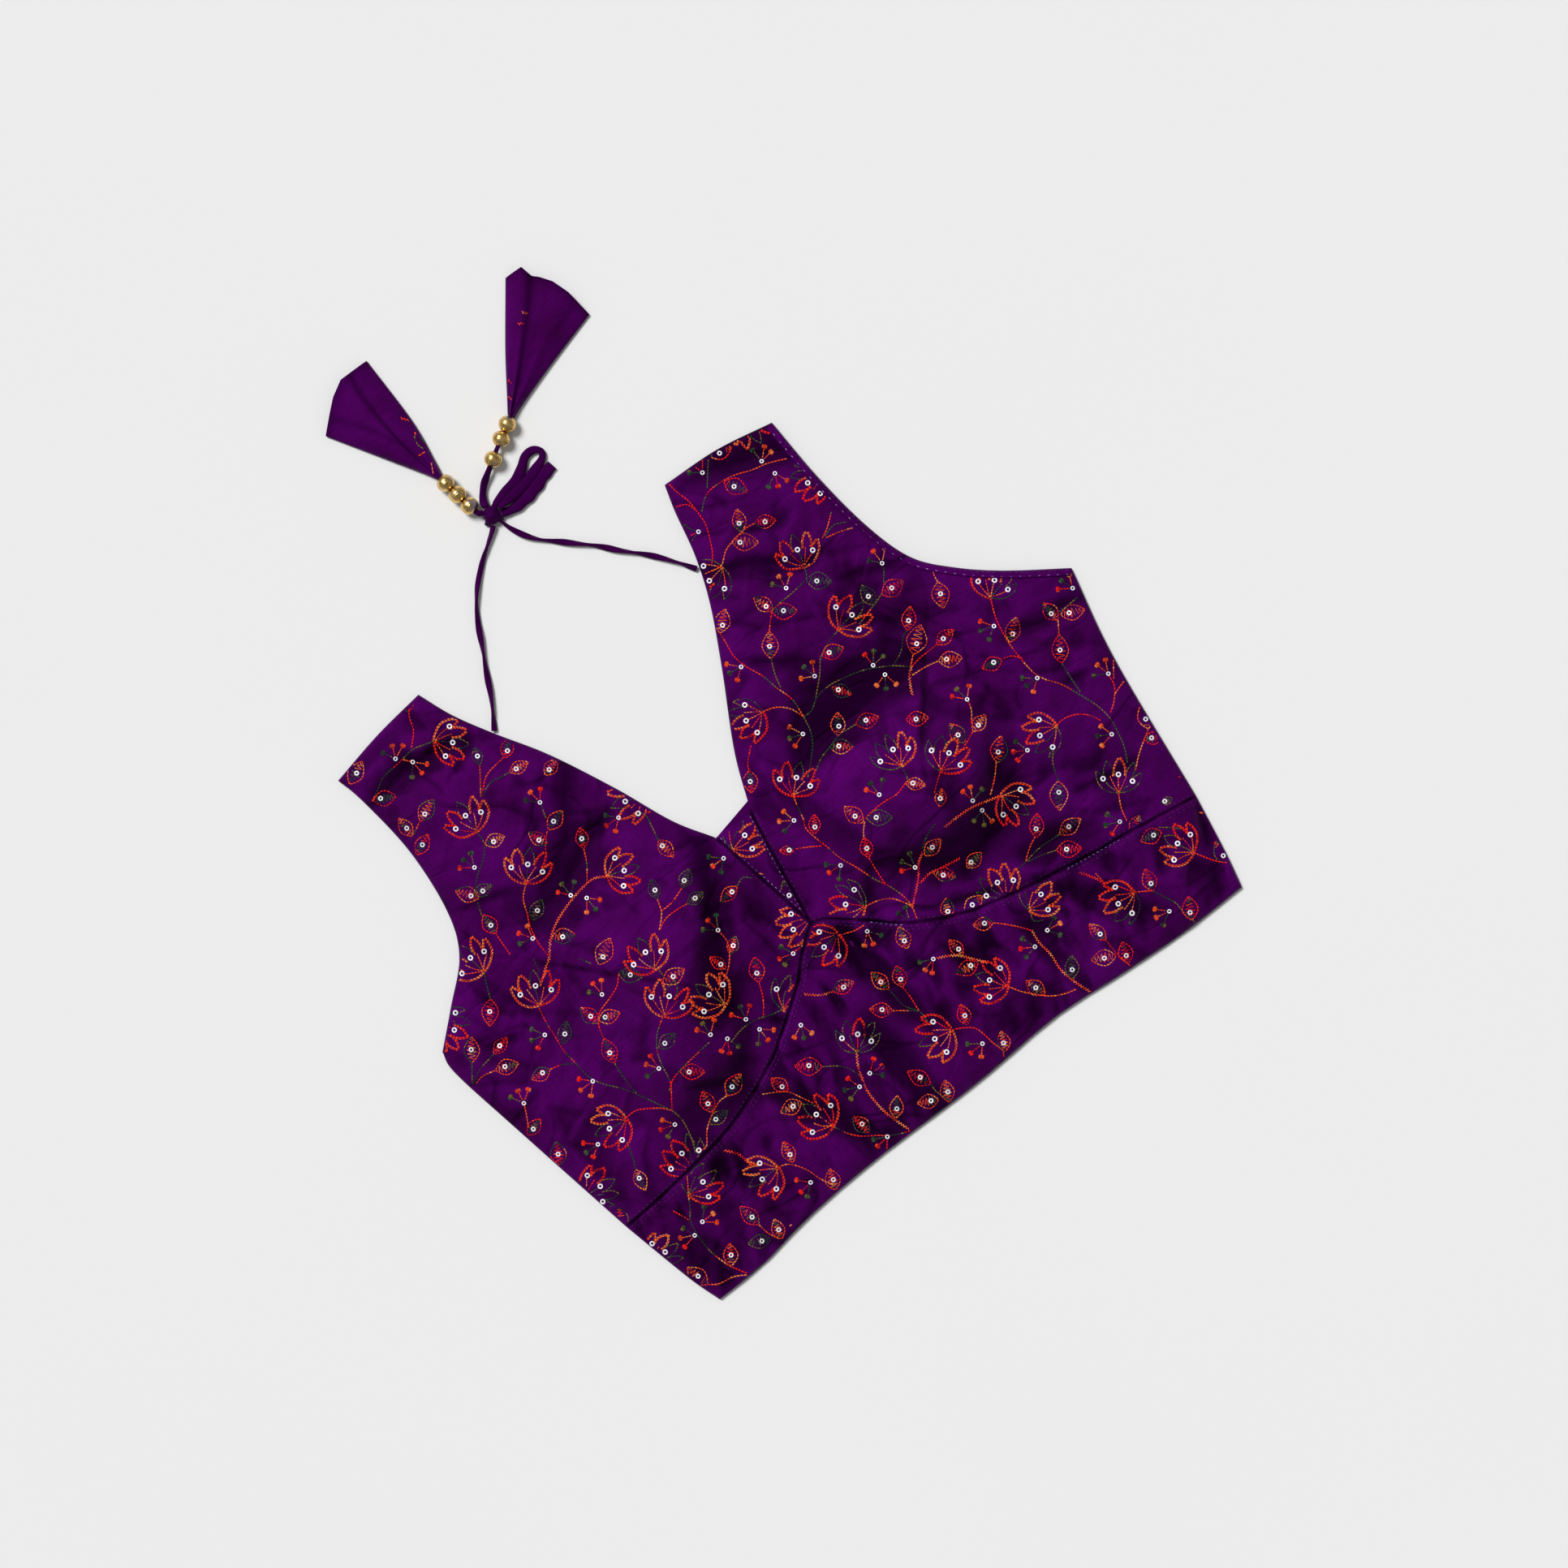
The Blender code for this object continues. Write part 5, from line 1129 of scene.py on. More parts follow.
    def chart(self, chart):
        for stem in chart.stems:
            letter = stem[0].lower()
            line = np.array(stem[1:], dtype=float).reshape(-1, 2)
            if stem[0].isupper():
                self.satin(line, letter)
            else:
                self.run(line, letter)
        for flower in chart.flowers:
            self.flower(flower)
        for leaf in chart.leaves:
            self.leaf(leaf)
        for spray in chart.sprays:
            self.spray(spray)

    def thread_mesh(self, name, surface, rim, material, margin=0.8):
        """Each stitch as a slim closed lozenge with pointed ends, its colour held at its points."""
        rows = np.array(self.stitches)
        start, end, width = rows[:, 0:2], rows[:, 2:4], rows[:, 4]
        kept = within(rim, start, margin) & within(rim, end, margin)
        start, end, width, colour = start[kept], end[kept], width[kept], rows[kept, 5:8]
        half = HALF * (end - start)
        middle = HALF * (start + end)
        normal = np.stack([-half[:, 1], half[:, 0]], axis=1) / np.linalg.norm(half, axis=1)[:, None]
        side = normal * HALF * width[:, None]
        inner = 0.56 * half
        plan = np.stack([start, middle - inner + side, middle - inner, middle - inner - side,
                         middle + inner + side, middle + inner, middle + inner - side, end], axis=1)
        lift = STITCH_RISE * width / STITCH_WIDTH
        low = np.full(len(width), -0.12)
        rise = np.stack([low, low, lift, low, low, lift, low, low], axis=1)
        points = np.concatenate([plan, (surface.top(plan[..., 0], plan[..., 1]) + rise)[..., None]], axis=2)
        first = 8 * np.arange(len(width))[:, None, None]
        quads = (first + np.array(STITCH_QUADS)[None]).reshape(-1, 4)
        triangles = (first + np.array(STITCH_TRIANGLES)[None]).reshape(-1, 3)
        item = make_object(name, surface.turned(points.reshape(-1, 3)), quads=surface.wound(quads),
                           triangles=surface.wound(triangles), material=material)
        # Painted highlight and shade: each stitch lighter along its crest, darker at its edges and ends
        tone = np.array([0.3, 0.55, 1.35, 0.35, 0.55, 1.35, 0.35, 0.3])
        shades = np.ones((len(width), 8, 4))
        shades[..., :3] = np.clip(colour[:, None, :] * tone[None, :, None], 0.0, 1.0)
        hold_colours(item, "thread", shades)
        return item

    def sequin_mesh(self, name, surface, rim, material):
        """Flat cupped discs with a hole, each on its own little slope of the cloth."""
        rows = np.array(self.sequins)
        rows = rows[within(rim, rows[:, :2], SEQUIN_RADIUS + 0.3)]
        segments = 14
        angle = 2 * np.pi * np.arange(segments) / segments
        ring = np.stack([np.cos(angle), np.sin(angle)], axis=1)
        profile = [(SEQUIN_RADIUS, 0.16), (SEQUIN_RADIUS - 0.12, 0.46), (1.1, 0.34), (SEQUIN_HOLE, 0.30),
                   (SEQUIN_HOLE, 0.12), (1.2, 0.10)]
        count = len(profile)
        faces = ring_quads(count, segments, closed=True)
        points, quads = [], []
        for i, (x, y, size, _) in enumerate(rows):
            reach = SEQUIN_RADIUS * size
            heights = surface.top(x + reach * ring[:, 0], y + reach * ring[:, 1])
            slope_x = (heights * ring[:, 0]).mean() * 2.0 / reach
            slope_y = (heights * ring[:, 1]).mean() * 2.0 / reach
            spread = heights - heights.mean() - reach * (slope_x * ring[:, 0] + slope_y * ring[:, 1])
            level = heights.mean() + spread.max() * HALF
            for radius, lift in profile:
                plan = np.array([x, y]) + ring * radius * size
                z = level + slope_x * (plan[:, 0] - x) + slope_y * (plan[:, 1] - y) + lift
                points.append(np.column_stack([plan, z]))
            quads.append(faces + i * count * segments)
        return make_object(name, surface.turned(np.vstack(points)), quads=surface.wound(np.vstack(quads)),
                           material=material)

    def sewing(self, line, letter, pitch, length, width):
        """Machine stitches along a sewn line, with the gaps between them."""
        count = int(line_length(line) / pitch)
        knots = smooth_curve(line, np.linspace(0.0, 1.0, 2 * count + 1))
        shades = self.colours(letter, count)
        for i in range(count):
            start, toward = knots[2 * i], knots[2 * i + 1] - knots[2 * i]
            toward = toward / max(np.linalg.norm(toward), 1e-6)
            self.stitch(start, start + length * toward, width, shades[i])


class Lifted(Surface):
    """A face that lies a little above the cloth, such as the facing's."""

    def __init__(self, cloth, lift):
        self.cloth = cloth
        self.lift = lift

    def top(self, x, y):
        return self.cloth.top(x, y) + self.lift


class Scattered(Surface):
    """A face known at a grid of its own points: each place takes the height of the nearest."""

    def __init__(self, plan, heights):
        self.plan = plan.reshape(-1, 2)
        self.heights = heights.ravel()

    def top(self, x, y):
        away = np.hypot(np.ravel(x)[:, None] - self.plan[:, 0], np.ravel(y)[:, None] - self.plan[:, 1])
        return self.heights[away.argmin(axis=1)].reshape(np.shape(x))


def within(rim, plan, margin=0.8):
    """Which plan points lie inside a closed rim, and clear of it by a margin."""
    closed = np.vstack([rim, rim[:1]])
    inside = inside_polygon(plan[:, 0], plan[:, 1], rim)
    return inside & (distance_to_line(plan[:, 0], plan[:, 1], closed) > margin)


class Underside(Surface):
    """The back's lower face, seen as a level surface above which stitches rise, then turned down."""

    def top(self, x, y):
        return np.full(np.shape(x), -BACK_FACE)

    def turned(self, points):
        return points * np.array([1.0, 1.0, -1.0])

    def wound(self, faces):
        return faces[:, ::-1]


def named(chart):
    """The chart with each of its rows under the names of its columns."""
    return Chart([Flower(*row) for row in chart.flowers], [Leaf(*row) for row in chart.leaves],
                 [Spray(*row) for row in chart.sprays], chart.stems)


def mirrored(chart):
    """The chart as it runs on the back: turned over left for right."""

    def turned_over(row):
        return row._replace(x=MIRROR_SUM - row.x, turn=180 - row.turn, colours=row.colours[::-1])

    leaves = [row._replace(x=MIRROR_SUM - row.x, tip_x=MIRROR_SUM - row.tip_x) for row in chart.leaves]
    stems = [(row[0], *[MIRROR_SUM - value if i % 2 == 0 else value for i, value in enumerate(row[1:])])
             for row in chart.stems]
    return Chart([turned_over(row) for row in chart.flowers], leaves,
                 [turned_over(row) for row in chart.sprays], stems)


def decorate(rims, cloth, thread, sequin):
    """Embroiders each front panel from its chart and the back from all of them, turned over."""
    charts = {"front_left": named(LEFT_CHART), "front_right": named(RIGHT_CHART),
              "centre_gusset": named(GUSSET_CHART), "front_band": named(BAND_CHART)}
    added = {}
    shares = np.linspace(0.01, 0.99, 60)
    bust = np.vstack([smooth_curve(SEAM_LEFT, shares), smooth_curve(SEAM_RIGHT, shares)])
    sides = {"front_left": [offset(bust, 2.0), offset(smooth_curve(GUSSET_LEFT, shares), 1.7)],
             "front_right": [offset(bust, 2.0), offset(smooth_curve(GUSSET_RIGHT, shares), -1.7)],
             "centre_gusset": [offset(smooth_curve(GUSSET_LEFT, shares), -1.6),
                               offset(smooth_curve(GUSSET_RIGHT, shares), 1.6)],
             "front_band": [offset(bust, -1.7), offset(bust, -3.6)]}
    for number, (node, chart) in enumerate(charts.items()):
        work = Embroidery(SEED + 10 + number)
        work.chart(chart)
        for line in sides[node]:
            work.sewing(line, "l" if node == "centre_gusset" else "p", 3.0, 1.9, 0.42)
        added[node] = [work.thread_mesh("threads_" + node, cloth, rims[node], thread),
                       work.sequin_mesh("sequins_" + node, cloth, rims[node], sequin)]
    work = Embroidery(SEED + 20)
    blue = smooth_curve(SEAM_RIGHT, shares)
    work.sewing(offset(blue[8:14], -0.9), "l", 2.6, 1.8, 0.5)
    work.sewing(offset(blue[38:48], -0.9), "l", 2.6, 1.8, 0.5)
    added["front_band"].append(work.thread_mesh("stitches_bust_seam", cloth, rims["front_band"], thread, 0.2))
    work = Embroidery(SEED + 21)
    armhole = smooth_curve(ARMHOLE_RIGHT, shares)
    work.sewing(offset(armhole, 3.7), "l", 5.4, 1.7, 0.6)
    work.sewing(offset(armhole, 1.4), "p", 3.2, 2.0, 0.45)
    facing = Lifted(cloth, FACING_TOP)
    rim = outline_points(30)
    added["armhole_facing_right"] = [work.thread_mesh("stitches_facing", facing, rim, thread, 0.3)]
    underside = Underside()
    work = Embroidery(SEED + 30)
    for chart in charts.values():
        work.chart(mirrored(chart))
    added["back"] = [work.thread_mesh("threads_back", underside, rim, thread),
                     work.sequin_mesh("sequins_back", underside, rim, sequin)]
    return added


def nodes_of(name):
    material = bpy.data.materials.new(name)
    material.use_nodes = True
    tree = material.node_tree
    return material, tree, tree.nodes["Principled BSDF"]


def add_node(tree, kind, **values):
    node = tree.nodes.new(kind)
    for key, value in values.items():
        if key in node.inputs:
            node.inputs[key].default_value = value
        else:
            setattr(node, key, value)
    return node


def wire(tree, source, target):
    tree.links.new(source, target)


def noise(tree, vector, scale, detail=3.0, roughness=0.55):
    node = add_node(tree, "ShaderNodeTexNoise", Scale=scale, Detail=detail, Roughness=roughness)
    wire(tree, vector, node.inputs["Vector"])
    return node.outputs["Fac"]


def stretched(tree, angle, stretch):
    """Object coordinates turned in plan and squeezed along one of their axes, for yarns."""
    coordinates = add_node(tree, "ShaderNodeTexCoord")
    mapping = add_node(tree, "ShaderNodeMapping", Rotation=(0, 0, angle), Scale=stretch)
    wire(tree, coordinates.outputs["Object"], mapping.inputs["Vector"])
    return mapping.outputs["Vector"]


def ramp(tree, source, stops):
    node = add_node(tree, "ShaderNodeValToRGB")
    elements = node.color_ramp.elements
    while len(elements) < len(stops):
        elements.new(0.5)
    for element, (position, colour) in zip(elements, stops):
        element.position = position
        element.color = (*colour, 1.0)
    wire(tree, source, node.inputs["Fac"])
    return node.outputs["Color"]


def mix_colour(tree, mode, factor, first, second):
    node = add_node(tree, "ShaderNodeMix", data_type="RGBA", blend_type=mode)
    if hasattr(factor, "is_linked"):
        wire(tree, factor, node.inputs[0])
    else:
        node.inputs[0].default_value = factor
    for socket, value in ((node.inputs[6], first), (node.inputs[7], second)):
        if hasattr(value, "is_linked"):
            wire(tree, value, socket)
        else:
            socket.default_value = (*value, 1.0)
    return node.outputs[2]


def map_range(tree, source, low, high):
    node = add_node(tree, "ShaderNodeMapRange")
    node.inputs["To Min"].default_value = low
    node.inputs["To Max"].default_value = high
    wire(tree, source, node.inputs["Value"])
    return node.outputs["Result"]


def add_bump(tree, shader, layers):
    """Bump layers as height, distance in metres and strength, one after the other."""
    last = None
    for height, distance, strength in layers:
        bump = add_node(tree, "ShaderNodeBump", Strength=strength, Distance=distance)
        wire(tree, height, bump.inputs["Height"])
        if last:
            wire(tree, last, bump.inputs["Normal"])
        last = bump.outputs["Normal"]
    wire(tree, last, shader.inputs["Normal"])


def silk_material(name, dark, light, angle, sheen=0.02, shaded=True, creased=True):
    """Plain-woven raw silk: fine slubs along the weft, a soft sheen, slow colour changes, painted shade."""
    material, tree, shader = nodes_of(name)
    weft = noise(tree, stretched(tree, angle, (1.0, 14.0, 1.0)), 130.0, 4.0, 0.7)
    warp = noise(tree, stretched(tree, angle, (14.0, 1.0, 1.0)), 160.0, 4.0, 0.7)
    cloudy = noise(tree, stretched(tree, angle, (1.0, 1.0, 1.0)), 34.0, 3.0, 0.5)
    base = ramp(tree, cloudy, [(0.30, dark), (0.72, light)])
    threads = ramp(tree, weft, [(0.34, (0.66, 0.60, 0.68)), (0.62, (1.22, 1.2, 1.24))])
    colour = mix_colour(tree, "MULTIPLY", 0.75, base, threads)
    cross = ramp(tree, warp, [(0.36, (0.76, 0.70, 0.78)), (0.62, (1.16, 1.16, 1.18))])
    colour = mix_colour(tree, "MULTIPLY", 0.6, colour, cross)
    # Painted shade: the colour multiplied by the shade held at each point
    if shaded:
        held = add_node(tree, "ShaderNodeAttribute", attribute_name="shade")
        colour = mix_colour(tree, "MULTIPLY", 1.0, colour, held.outputs["Color"])
    layers = [(weft, 0.0004, 0.5), (warp, 0.0003, 0.35)]
    # Painted shade in fine creases: dark lines multiplied into the colour in patches, also used as bump
    if shaded and creased:
        patches = noise(tree, stretched(tree, 0.7, (1.0, 1.0, 1.0)), 17.0, 2.0, 0.5)
        for turn, stretch, size, edge in CREASE_LAYERS:
            lines = crease_lines(tree, stretched(tree, angle + turn, stretch), size)
            where = ramp(tree, patches, [(edge, (0.0, 0.0, 0.0)), (edge + 0.12, (1.0, 1.0, 1.0))])
            colour = mix_colour(tree, "MULTIPLY", where, colour, lines)
            layers.append((lines, 0.0009, 0.5))
    wire(tree, colour, shader.inputs["Base Color"])
    wire(tree, map_range(tree, weft, 0.42, 0.66), shader.inputs["Roughness"])
    shader.inputs["Sheen Weight"].default_value = sheen
    shader.inputs["Sheen Roughness"].default_value = 0.4
    shader.inputs["Sheen Tint"].default_value = (0.55, 0.01, 0.75, 1.0)
    shader.inputs["Specular IOR Level"].default_value = 0.14
    shader.inputs["Specular Tint"].default_value = (0.75, 0.01, 1.0, 1.0)
    add_bump(tree, shader, layers)
    return material


def crease_lines(tree, vector, size):
    """Thin wandering creases as painted shade: dark in their bottoms, sharper on one side, on plain white."""
    here = noise(tree, vector, size, 1.0, 0.4)
    return ramp(tree, here, [(0.462, (1.0, 1.0, 1.0)), (0.492, (0.40, 0.32, 0.40)), (0.504, (0.9, 0.9, 0.9)),
                             (0.512, (1.0, 1.0, 1.0))])


def thread_material():
    """Rayon embroidery thread: the colour held by each stitch, flecked, with a soft gloss."""
    material, tree, shader = nodes_of("embroidery_thread")
    held = add_node(tree, "ShaderNodeAttribute", attribute_name="thread")
    fleck = noise(tree, stretched(tree, 0.5, (1.0, 1.0, 1.0)), 900.0, 2.0, 0.6)
    tone = ramp(tree, fleck, [(0.32, (0.62, 0.58, 0.58)), (0.66, (1.25, 1.2, 1.15))])
    wire(tree, mix_colour(tree, "MULTIPLY", 0.8, held.outputs["Color"], tone), shader.inputs["Base Color"])
    wire(tree, map_range(tree, fleck, 0.42, 0.62), shader.inputs["Roughness"])
    shader.inputs["Specular IOR Level"].default_value = 0.16
    add_bump(tree, shader, [(fleck, 0.0002, 0.4)])
    return material


def sequin_material():
    """Pearly white plastic with a faint colour play."""
    material, tree, shader = nodes_of("pearl_sequin")
    play = noise(tree, stretched(tree, 0.0, (1.0, 1.0, 1.0)), 260.0, 2.0, 0.5)
    pearl = ramp(tree, play, [(0.3, (0.62, 0.66, 0.74)), (0.5, (0.90, 0.90, 0.92)),
                              (0.7, (0.86, 0.78, 0.82))])
    wire(tree, pearl, shader.inputs["Base Color"])
    wire(tree, map_range(tree, play, 0.12, 0.3), shader.inputs["Roughness"])
    shader.inputs["Coat Weight"].default_value = 0.5
    shader.inputs["Coat Roughness"].default_value = 0.08
    return material


def brass_material():
    """Thin polished brass plate, worn to a cool grey in places."""
    material, tree, shader = nodes_of("worn_brass")
    spots = noise(tree, stretched(tree, 0.4, (1.0, 1.0, 1.0)), 420.0, 4.0, 0.6)
    patches = noise(tree, stretched(tree, 0.0, (1.0, 1.0, 1.0)), 150.0, 3.0, 0.5)
    gold = ramp(tree, spots, [(0.3, (0.42, 0.26, 0.07)), (0.55, (0.78, 0.53, 0.19)),
                              (0.8, (0.95, 0.74, 0.36))])
    worn = ramp(tree, patches, [(0.56, (0.0, 0.0, 0.0)), (0.68, (1.0, 1.0, 1.0))])
    colour = mix_colour(tree, "MIX", worn, gold, (0.42, 0.38, 0.44))
    wire(tree, colour, shader.inputs["Base Color"])
    wire(tree, map_range(tree, spots, 0.16, 0.42), shader.inputs["Roughness"])
    shader.inputs["Metallic"].default_value = 1.0
    add_bump(tree, shader, [(patches, 0.0006, 0.4), (spots, 0.0002, 0.3)])
    return material


def build_camera():
    data = bpy.data.cameras.new("camera")
    data.lens = LENS
    data.sensor_width = SENSOR
    data.sensor_height = SENSOR
    data.clip_start = 0.05
    camera = link(bpy.data.objects.new("camera", data))
    distance = VIEW_WIDTH * MM * LENS / SENSOR
    centre = place([(VIEW_CENTRE.x, VIEW_CENTRE.y, 0.0)])[0]
    ux, uy = VIEW_UP
    camera.matrix_world = Matrix(((uy, ux, 0.0, centre[0]), (-ux, uy, 0.0, centre[1]),
                                  (0.0, 0.0, 1.0, distance), (0.0, 0.0, 0.0, 1.0)))
    bpy.context.scene.camera = camera


def sun_light(name, toward, strength, angle):
    """A far soft light, from the direction given, that falls evenly over the whole floor."""
    data = bpy.data.lights.new(name, "SUN")
    data.energy = strength
    data.angle = math.radians(angle)
    light = link(bpy.data.objects.new(name, data))
    light.rotation_euler = Vector(toward).to_track_quat("Z", "Y").to_euler()


def build_studio():
    """A pale floor, one large soft light from the upper left of the view and an even fill."""
    floor = make_object("floor", [(-6000, -6000, -0.05), (6000, -6000, -0.05), (6000, 6000, -0.05),
                                  (-6000, 6000, -0.05)], quads=[[0, 1, 2, 3]], smooth=False)
    material, tree, shader = nodes_of("pale_floor")
    paper = noise(tree, stretched(tree, 0.0, (1.0, 1.0, 1.0)), 3.0, 2.0, 0.5)
    wire(tree, ramp(tree, paper, [(0.2, (0.812, 0.812, 0.812)), (0.8, (0.818, 0.818, 0.818))]),
         shader.inputs["Base Color"])
    shader.inputs["Roughness"].default_value = 0.95
    shader.inputs["Specular IOR Level"].default_value = 0.0
    floor.data.materials.append(material)

    sun_light("key", KEY_FROM, KEY_STRENGTH, KEY_ANGLE)
    world = bpy.data.worlds.new("studio")
    world.use_nodes = True
    background = world.node_tree.nodes["Background"]
    background.inputs["Color"].default_value = (1.0, 1.0, 1.0, 1.0)
    background.inputs["Strength"].default_value = FILL_STRENGTH
    bpy.context.scene.view_settings.view_transform = "Standard"
    bpy.context.scene.world = world


def metres(route):
    return [tuple(point) for point in place(route)]


def build_cords(material, brass, silk, thread):
    """Strings from the neck to the knot, tails through the beads, the knot and its bow."""
    left, line_left = ribbon_tube("silk_string_left", STRING_LEFT, STRING_WIDTH, STRING_THICKNESS,
                                  lambda s: 0.07 + 1.9 * s, 130, material)
    right, line_right = ribbon_tube("silk_string_right", STRING_RIGHT, STRING_WIDTH, STRING_THICKNESS,
                                    lambda s: -0.05 - 2.2 * s, 130, material)
    tail_left, line_tail_left = ribbon_tube("silk_tail_left", TAIL_LEFT, 3.2, 2.6, 0.3, 50, material)
    tail_right, line_tail_right = ribbon_tube("silk_tail_right", TAIL_RIGHT, 4.2, 2.6, 0.4, 80, material,
                                              taper=lambda s: 1.05 - 0.35 * min(1.0, max(0.0, (s - 0.35) * 4)))
    bow, _ = ribbon_tube("silk_bow_loop", BOW_LOOP, 5.0, 2.5, 0.0, 110, material,
                         taper=lambda s: 0.7 + 0.56 * abs(math.sin(2.0 * math.pi * s)) ** 0.8)
    tab, _ = ribbon_tube("silk_bow_tab", BOW_TAB, 6.4, 2.3, 0.0, 60, material,
                         taper=lambda s: 0.7 + 0.5 * math.sin(0.72 * math.pi * s))
    knot = build_knot(material)
    wraps = [ribbon_tube("silk_knot_wrap_%d" % number, route, 3.6, 1.7, 0.0, 26, material)[0]
             for number, route in enumerate(KNOT_WRAPS, 1)]
    for item in wraps:
        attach(item, "root")
    for item, node in ((left, "dori_string_left"), (right, "dori_string_right"),
                       (tail_left, "dori_tail_left"), (bow, "dori_bow_loop"), (tab, "dori_bow_tab"),
                       (knot, "dori_knot")):
        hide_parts(node)
        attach(item, "root")
    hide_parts("dori_tail_right", "dori_tail_link")
    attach(tail_right, "root")

    for bead in BEADS:
        item = build_bead(bead, brass)
        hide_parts(bead.name)
        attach(item, "root")

    built = [build_tassel("silk_tassel_left", TASSEL_LEFT_ROWS, TASSEL_LEFT_MOUTH, silk, 0, thread),
             build_tassel("silk_tassel_right", TASSEL_RIGHT_ROWS, TASSEL_RIGHT_MOUTH, silk, 1, thread)]
    for (item, stitches), node in zip(built, ("tassel_left", "tassel_right")):
        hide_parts(node)
        for piece in (item, stitches):
            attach(piece, "root")

    def declare(route, line):
        start = metres(route[:1])[0]
        metres(line)

    declare(STRING_LEFT, line_left)
    declare(STRING_RIGHT, line_right)
    declare(TAIL_LEFT, line_tail_left)
    declare(TAIL_RIGHT, line_tail_right)


def build_knot(material):
    """The knot: a rounded core under four flat turns of the string."""
    segments, rings = 40, 22
    vertices = []
    for i in range(rings + 1):
        polar = math.pi * i / rings
        for k in range(segments):
            angle = 2 * math.pi * k / segments
            wrap = 0.10 * abs(math.sin(2.0 * angle + 2.2 * math.cos(polar))) ** 0.5
            wide = math.sin(polar) * (0.90 + wrap)
            vertices.append((KNOT_CENTRE.x + 5.2 * wide * math.cos(angle),
                             KNOT_CENTRE.y + 5.6 * wide * math.sin(angle),
                             KNOT_CENTRE.z - 3.45 * math.cos(polar) * (0.94 + 0.6 * wrap)))
    quads = grid_quads(rings + 1, segments, 0, False)
    number = np.arange(rings) * segments
    seam = np.stack([number + segments - 1, number, number + segments, number + 2 * segments - 1], axis=1)
    return make_object("silk_knot", vertices, quads=np.vstack([quads, seam]), material=material)


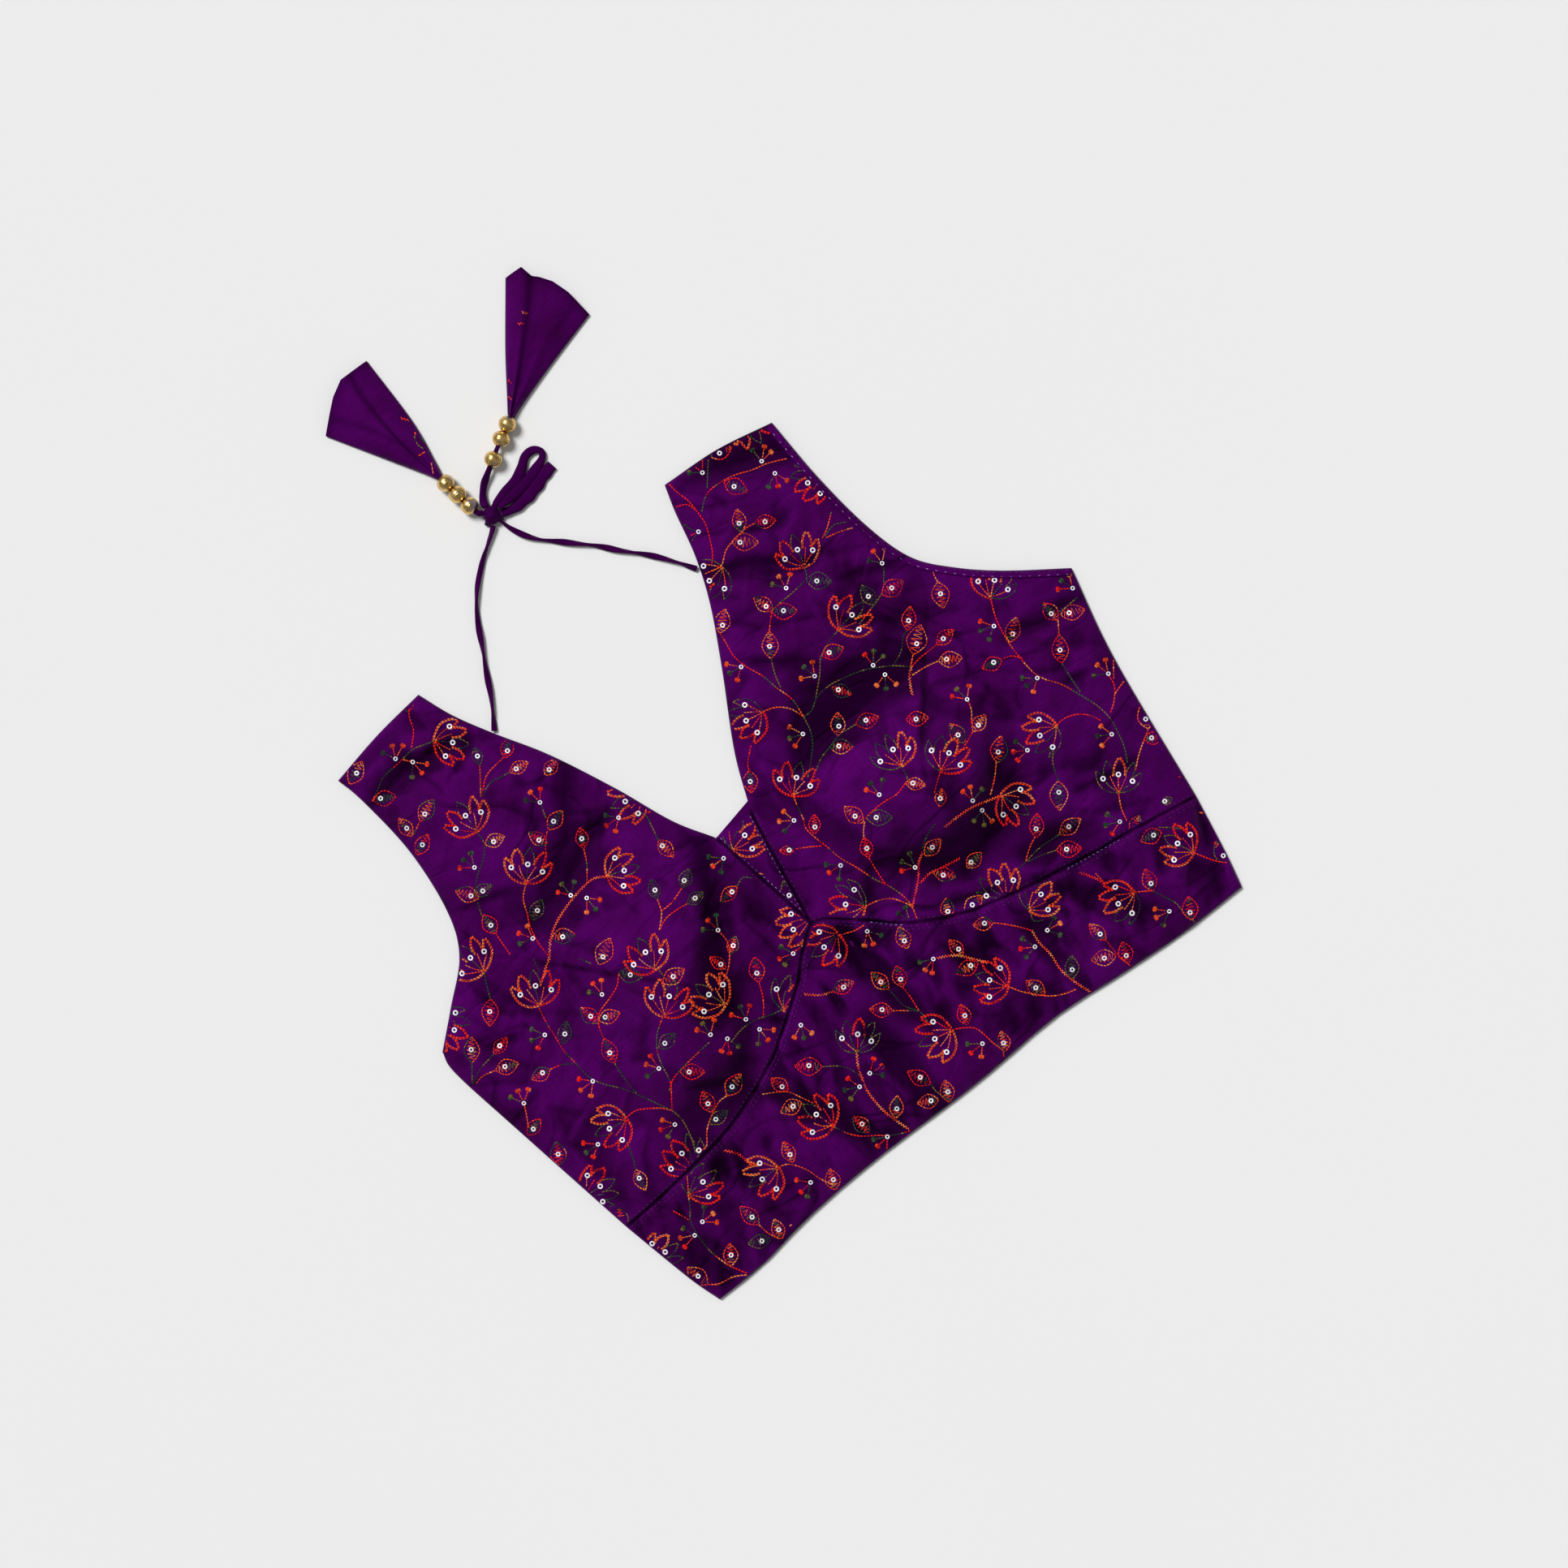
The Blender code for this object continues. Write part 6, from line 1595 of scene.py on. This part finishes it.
def build_tassel(name, rows, mouth, material, kind, thread):
    """A cone of folded cloth lying flat, open at its wide mouth, with soft folds from its neck."""
    across = np.linspace(0.0, 1.0, 57)
    across = 0.35 * across + 0.65 * (0.5 - 0.5 * np.cos(np.pi * across))
    up = np.linspace(0.0, 1.0, 60)
    left = smooth_curve([Point(row.left_x, row.left_y) for row in rows], up)
    right = smooth_curve([Point(row.right_x, row.right_y) for row in rows], up)
    neck = straight(left[0], right[0], across)
    reach = np.concatenate([[0.0], np.cumsum([math.dist(a, b) for a, b in zip(mouth[:-1], mouth[1:])])])
    rim = np.stack([np.interp(across * reach[-1], reach, [point[k] for point in mouth])
                    for k in range(2)], axis=1)
    plan = coons(neck, rim, left, right, across, up)
    ends = 2.0 * across - 1.0
    crown = np.sqrt(np.maximum(1.0 - ends ** 2, 0.0))
    rise = 4.4 * (0.75 + 0.25 * np.sin(np.pi * np.minimum(up * 1.2, 1.0)))
    fold = 0.5 * np.sin(across * 17.0 + kind)[None] * (1 - up[:, None]) * crown[None]
    fold = fold + 0.35 * np.sin(across * 9.0 + 2.0 * kind)[None] * up[:, None] * crown[None]
    upper = 1.7 + rise[:, None] * crown[None] + fold
    # Painted shade: the cloth's colour darkened beside each pleat's fold and in a band at the mouth
    shade = np.ones_like(upper)
    for pleat in TASSEL_PLEATS[kind]:
        beyond = (across[None] - (pleat.neck + (pleat.mouth - pleat.neck) * up[:, None])) / 0.035
        upper = upper + pleat.rise * crown[None] * (HALF - HALF * np.tanh(beyond))
        near = np.exp(-((beyond - 1.0) / 1.3) ** 2) if pleat.rise > 0 else np.exp(-(beyond / 1.6) ** 2)
        shade = shade * (1.0 - min(0.62, 0.8 * abs(pleat.rise)) * near)
    shade = shade * (1.0 - 0.4 * np.exp(-((1.0 - up[:, None]) / 0.05) ** 2))
    lower = np.repeat((1.0 * np.abs(ends) ** 5)[None], len(up), axis=0) + 0.12
    wall = 0.7
    width = np.linalg.norm(plan[:, -1] - plan[:, 0], axis=1)
    start = 4
    inset = 1.2 * wall / width
    share = inset[:, None] + (1.0 - 2.0 * inset[:, None]) * across[None]
    inner_plan = np.stack([np.stack([np.interp(share[i], across, plan[i, :, k]) for k in range(2)], axis=1)
                           for i in range(len(up))])
    inner_upper = np.stack([np.interp(share[i], across, upper[i]) for i in range(len(up))]) - wall
    inner_lower = np.stack([np.interp(share[i], across, lower[i]) for i in range(len(up))]) + wall
    inner_upper = np.maximum(inner_upper, inner_lower + 0.1)

    def rings(plan_rows, top_rows, bottom_rows):
        top = np.concatenate([plan_rows, top_rows[..., None]], axis=2)
        bottom = np.concatenate([plan_rows[:, ::-1], bottom_rows[:, ::-1, None]], axis=2)
        return np.concatenate([top, bottom], axis=1)

    outer = rings(plan, upper, lower)
    inner = rings(inner_plan[start:], inner_upper[start:], inner_lower[start:])
    size = outer.shape[1]
    number = np.arange(size)
    following = np.roll(number, -1)
    base = len(outer) * size
    last_outer, last_inner = (len(outer) - 1) * size, base + (len(inner) - 1) * size
    mouth_rim = np.stack([last_outer + number, last_outer + following,
                          last_inner + following, last_inner + number], axis=1)
    quads = [ring_quads(len(outer), size), ring_quads(len(inner), size, base)[:, ::-1], mouth_rim]
    points = np.vstack([outer.reshape(-1, 3), inner.reshape(-1, 3)])
    item = make_object(name, points, quads=np.vstack(quads), material=material)
    fill_faces(item.data, [list(range(size))[::-1], list(range(base, base + size))])
    values = np.ones(len(points))
    values[:outer.shape[0] * size].reshape(-1, size)[:, :len(across)] = shade
    hold_shade(item, values)
    work = Embroidery(SEED + 40 + kind)
    work.chart(Chart([], [], [], TASSEL_STEMS[kind]))
    edge = plan.reshape(-1, 2)[rim_loop(*plan.shape[:2])]
    stitches = work.thread_mesh(name.replace("silk", "threads"), Scattered(plan, upper), edge, thread, 0.1)
    return item, stitches


def main():
    build_camera()
    silk = {node: silk_material("silk_" + node, SILK_DARK, SILK_LIGHT, math.radians(angle),
                                creased=node != "tassels")
            for node, angle in GRAIN.items()}
    silk_plain = silk_material("silk_facing", SILK_DARK, SILK_LIGHT, 0.0)
    cord = silk_material("silk_cord", CORD_DARK, SILK_DARK, 0.3, shaded=False)
    brass = brass_material()
    thread = thread_material()
    build_cords(cord, brass, silk["tassels"], thread)

    build_studio()
    cloth = ClothField()
    pieces, rims = build_panels(cloth, silk)
    pieces["back"] = build_back(silk["back"])
    pieces["armhole_facing_right"] = build_facing(cloth, silk_plain)
    added = decorate(rims, cloth, thread, sequin_material())
    for node, piece in pieces.items():
        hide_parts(node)
        for item in (piece, *added.get(node, [])):
            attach(item, "root")
    rims["back"] = outline_points(30)


main()
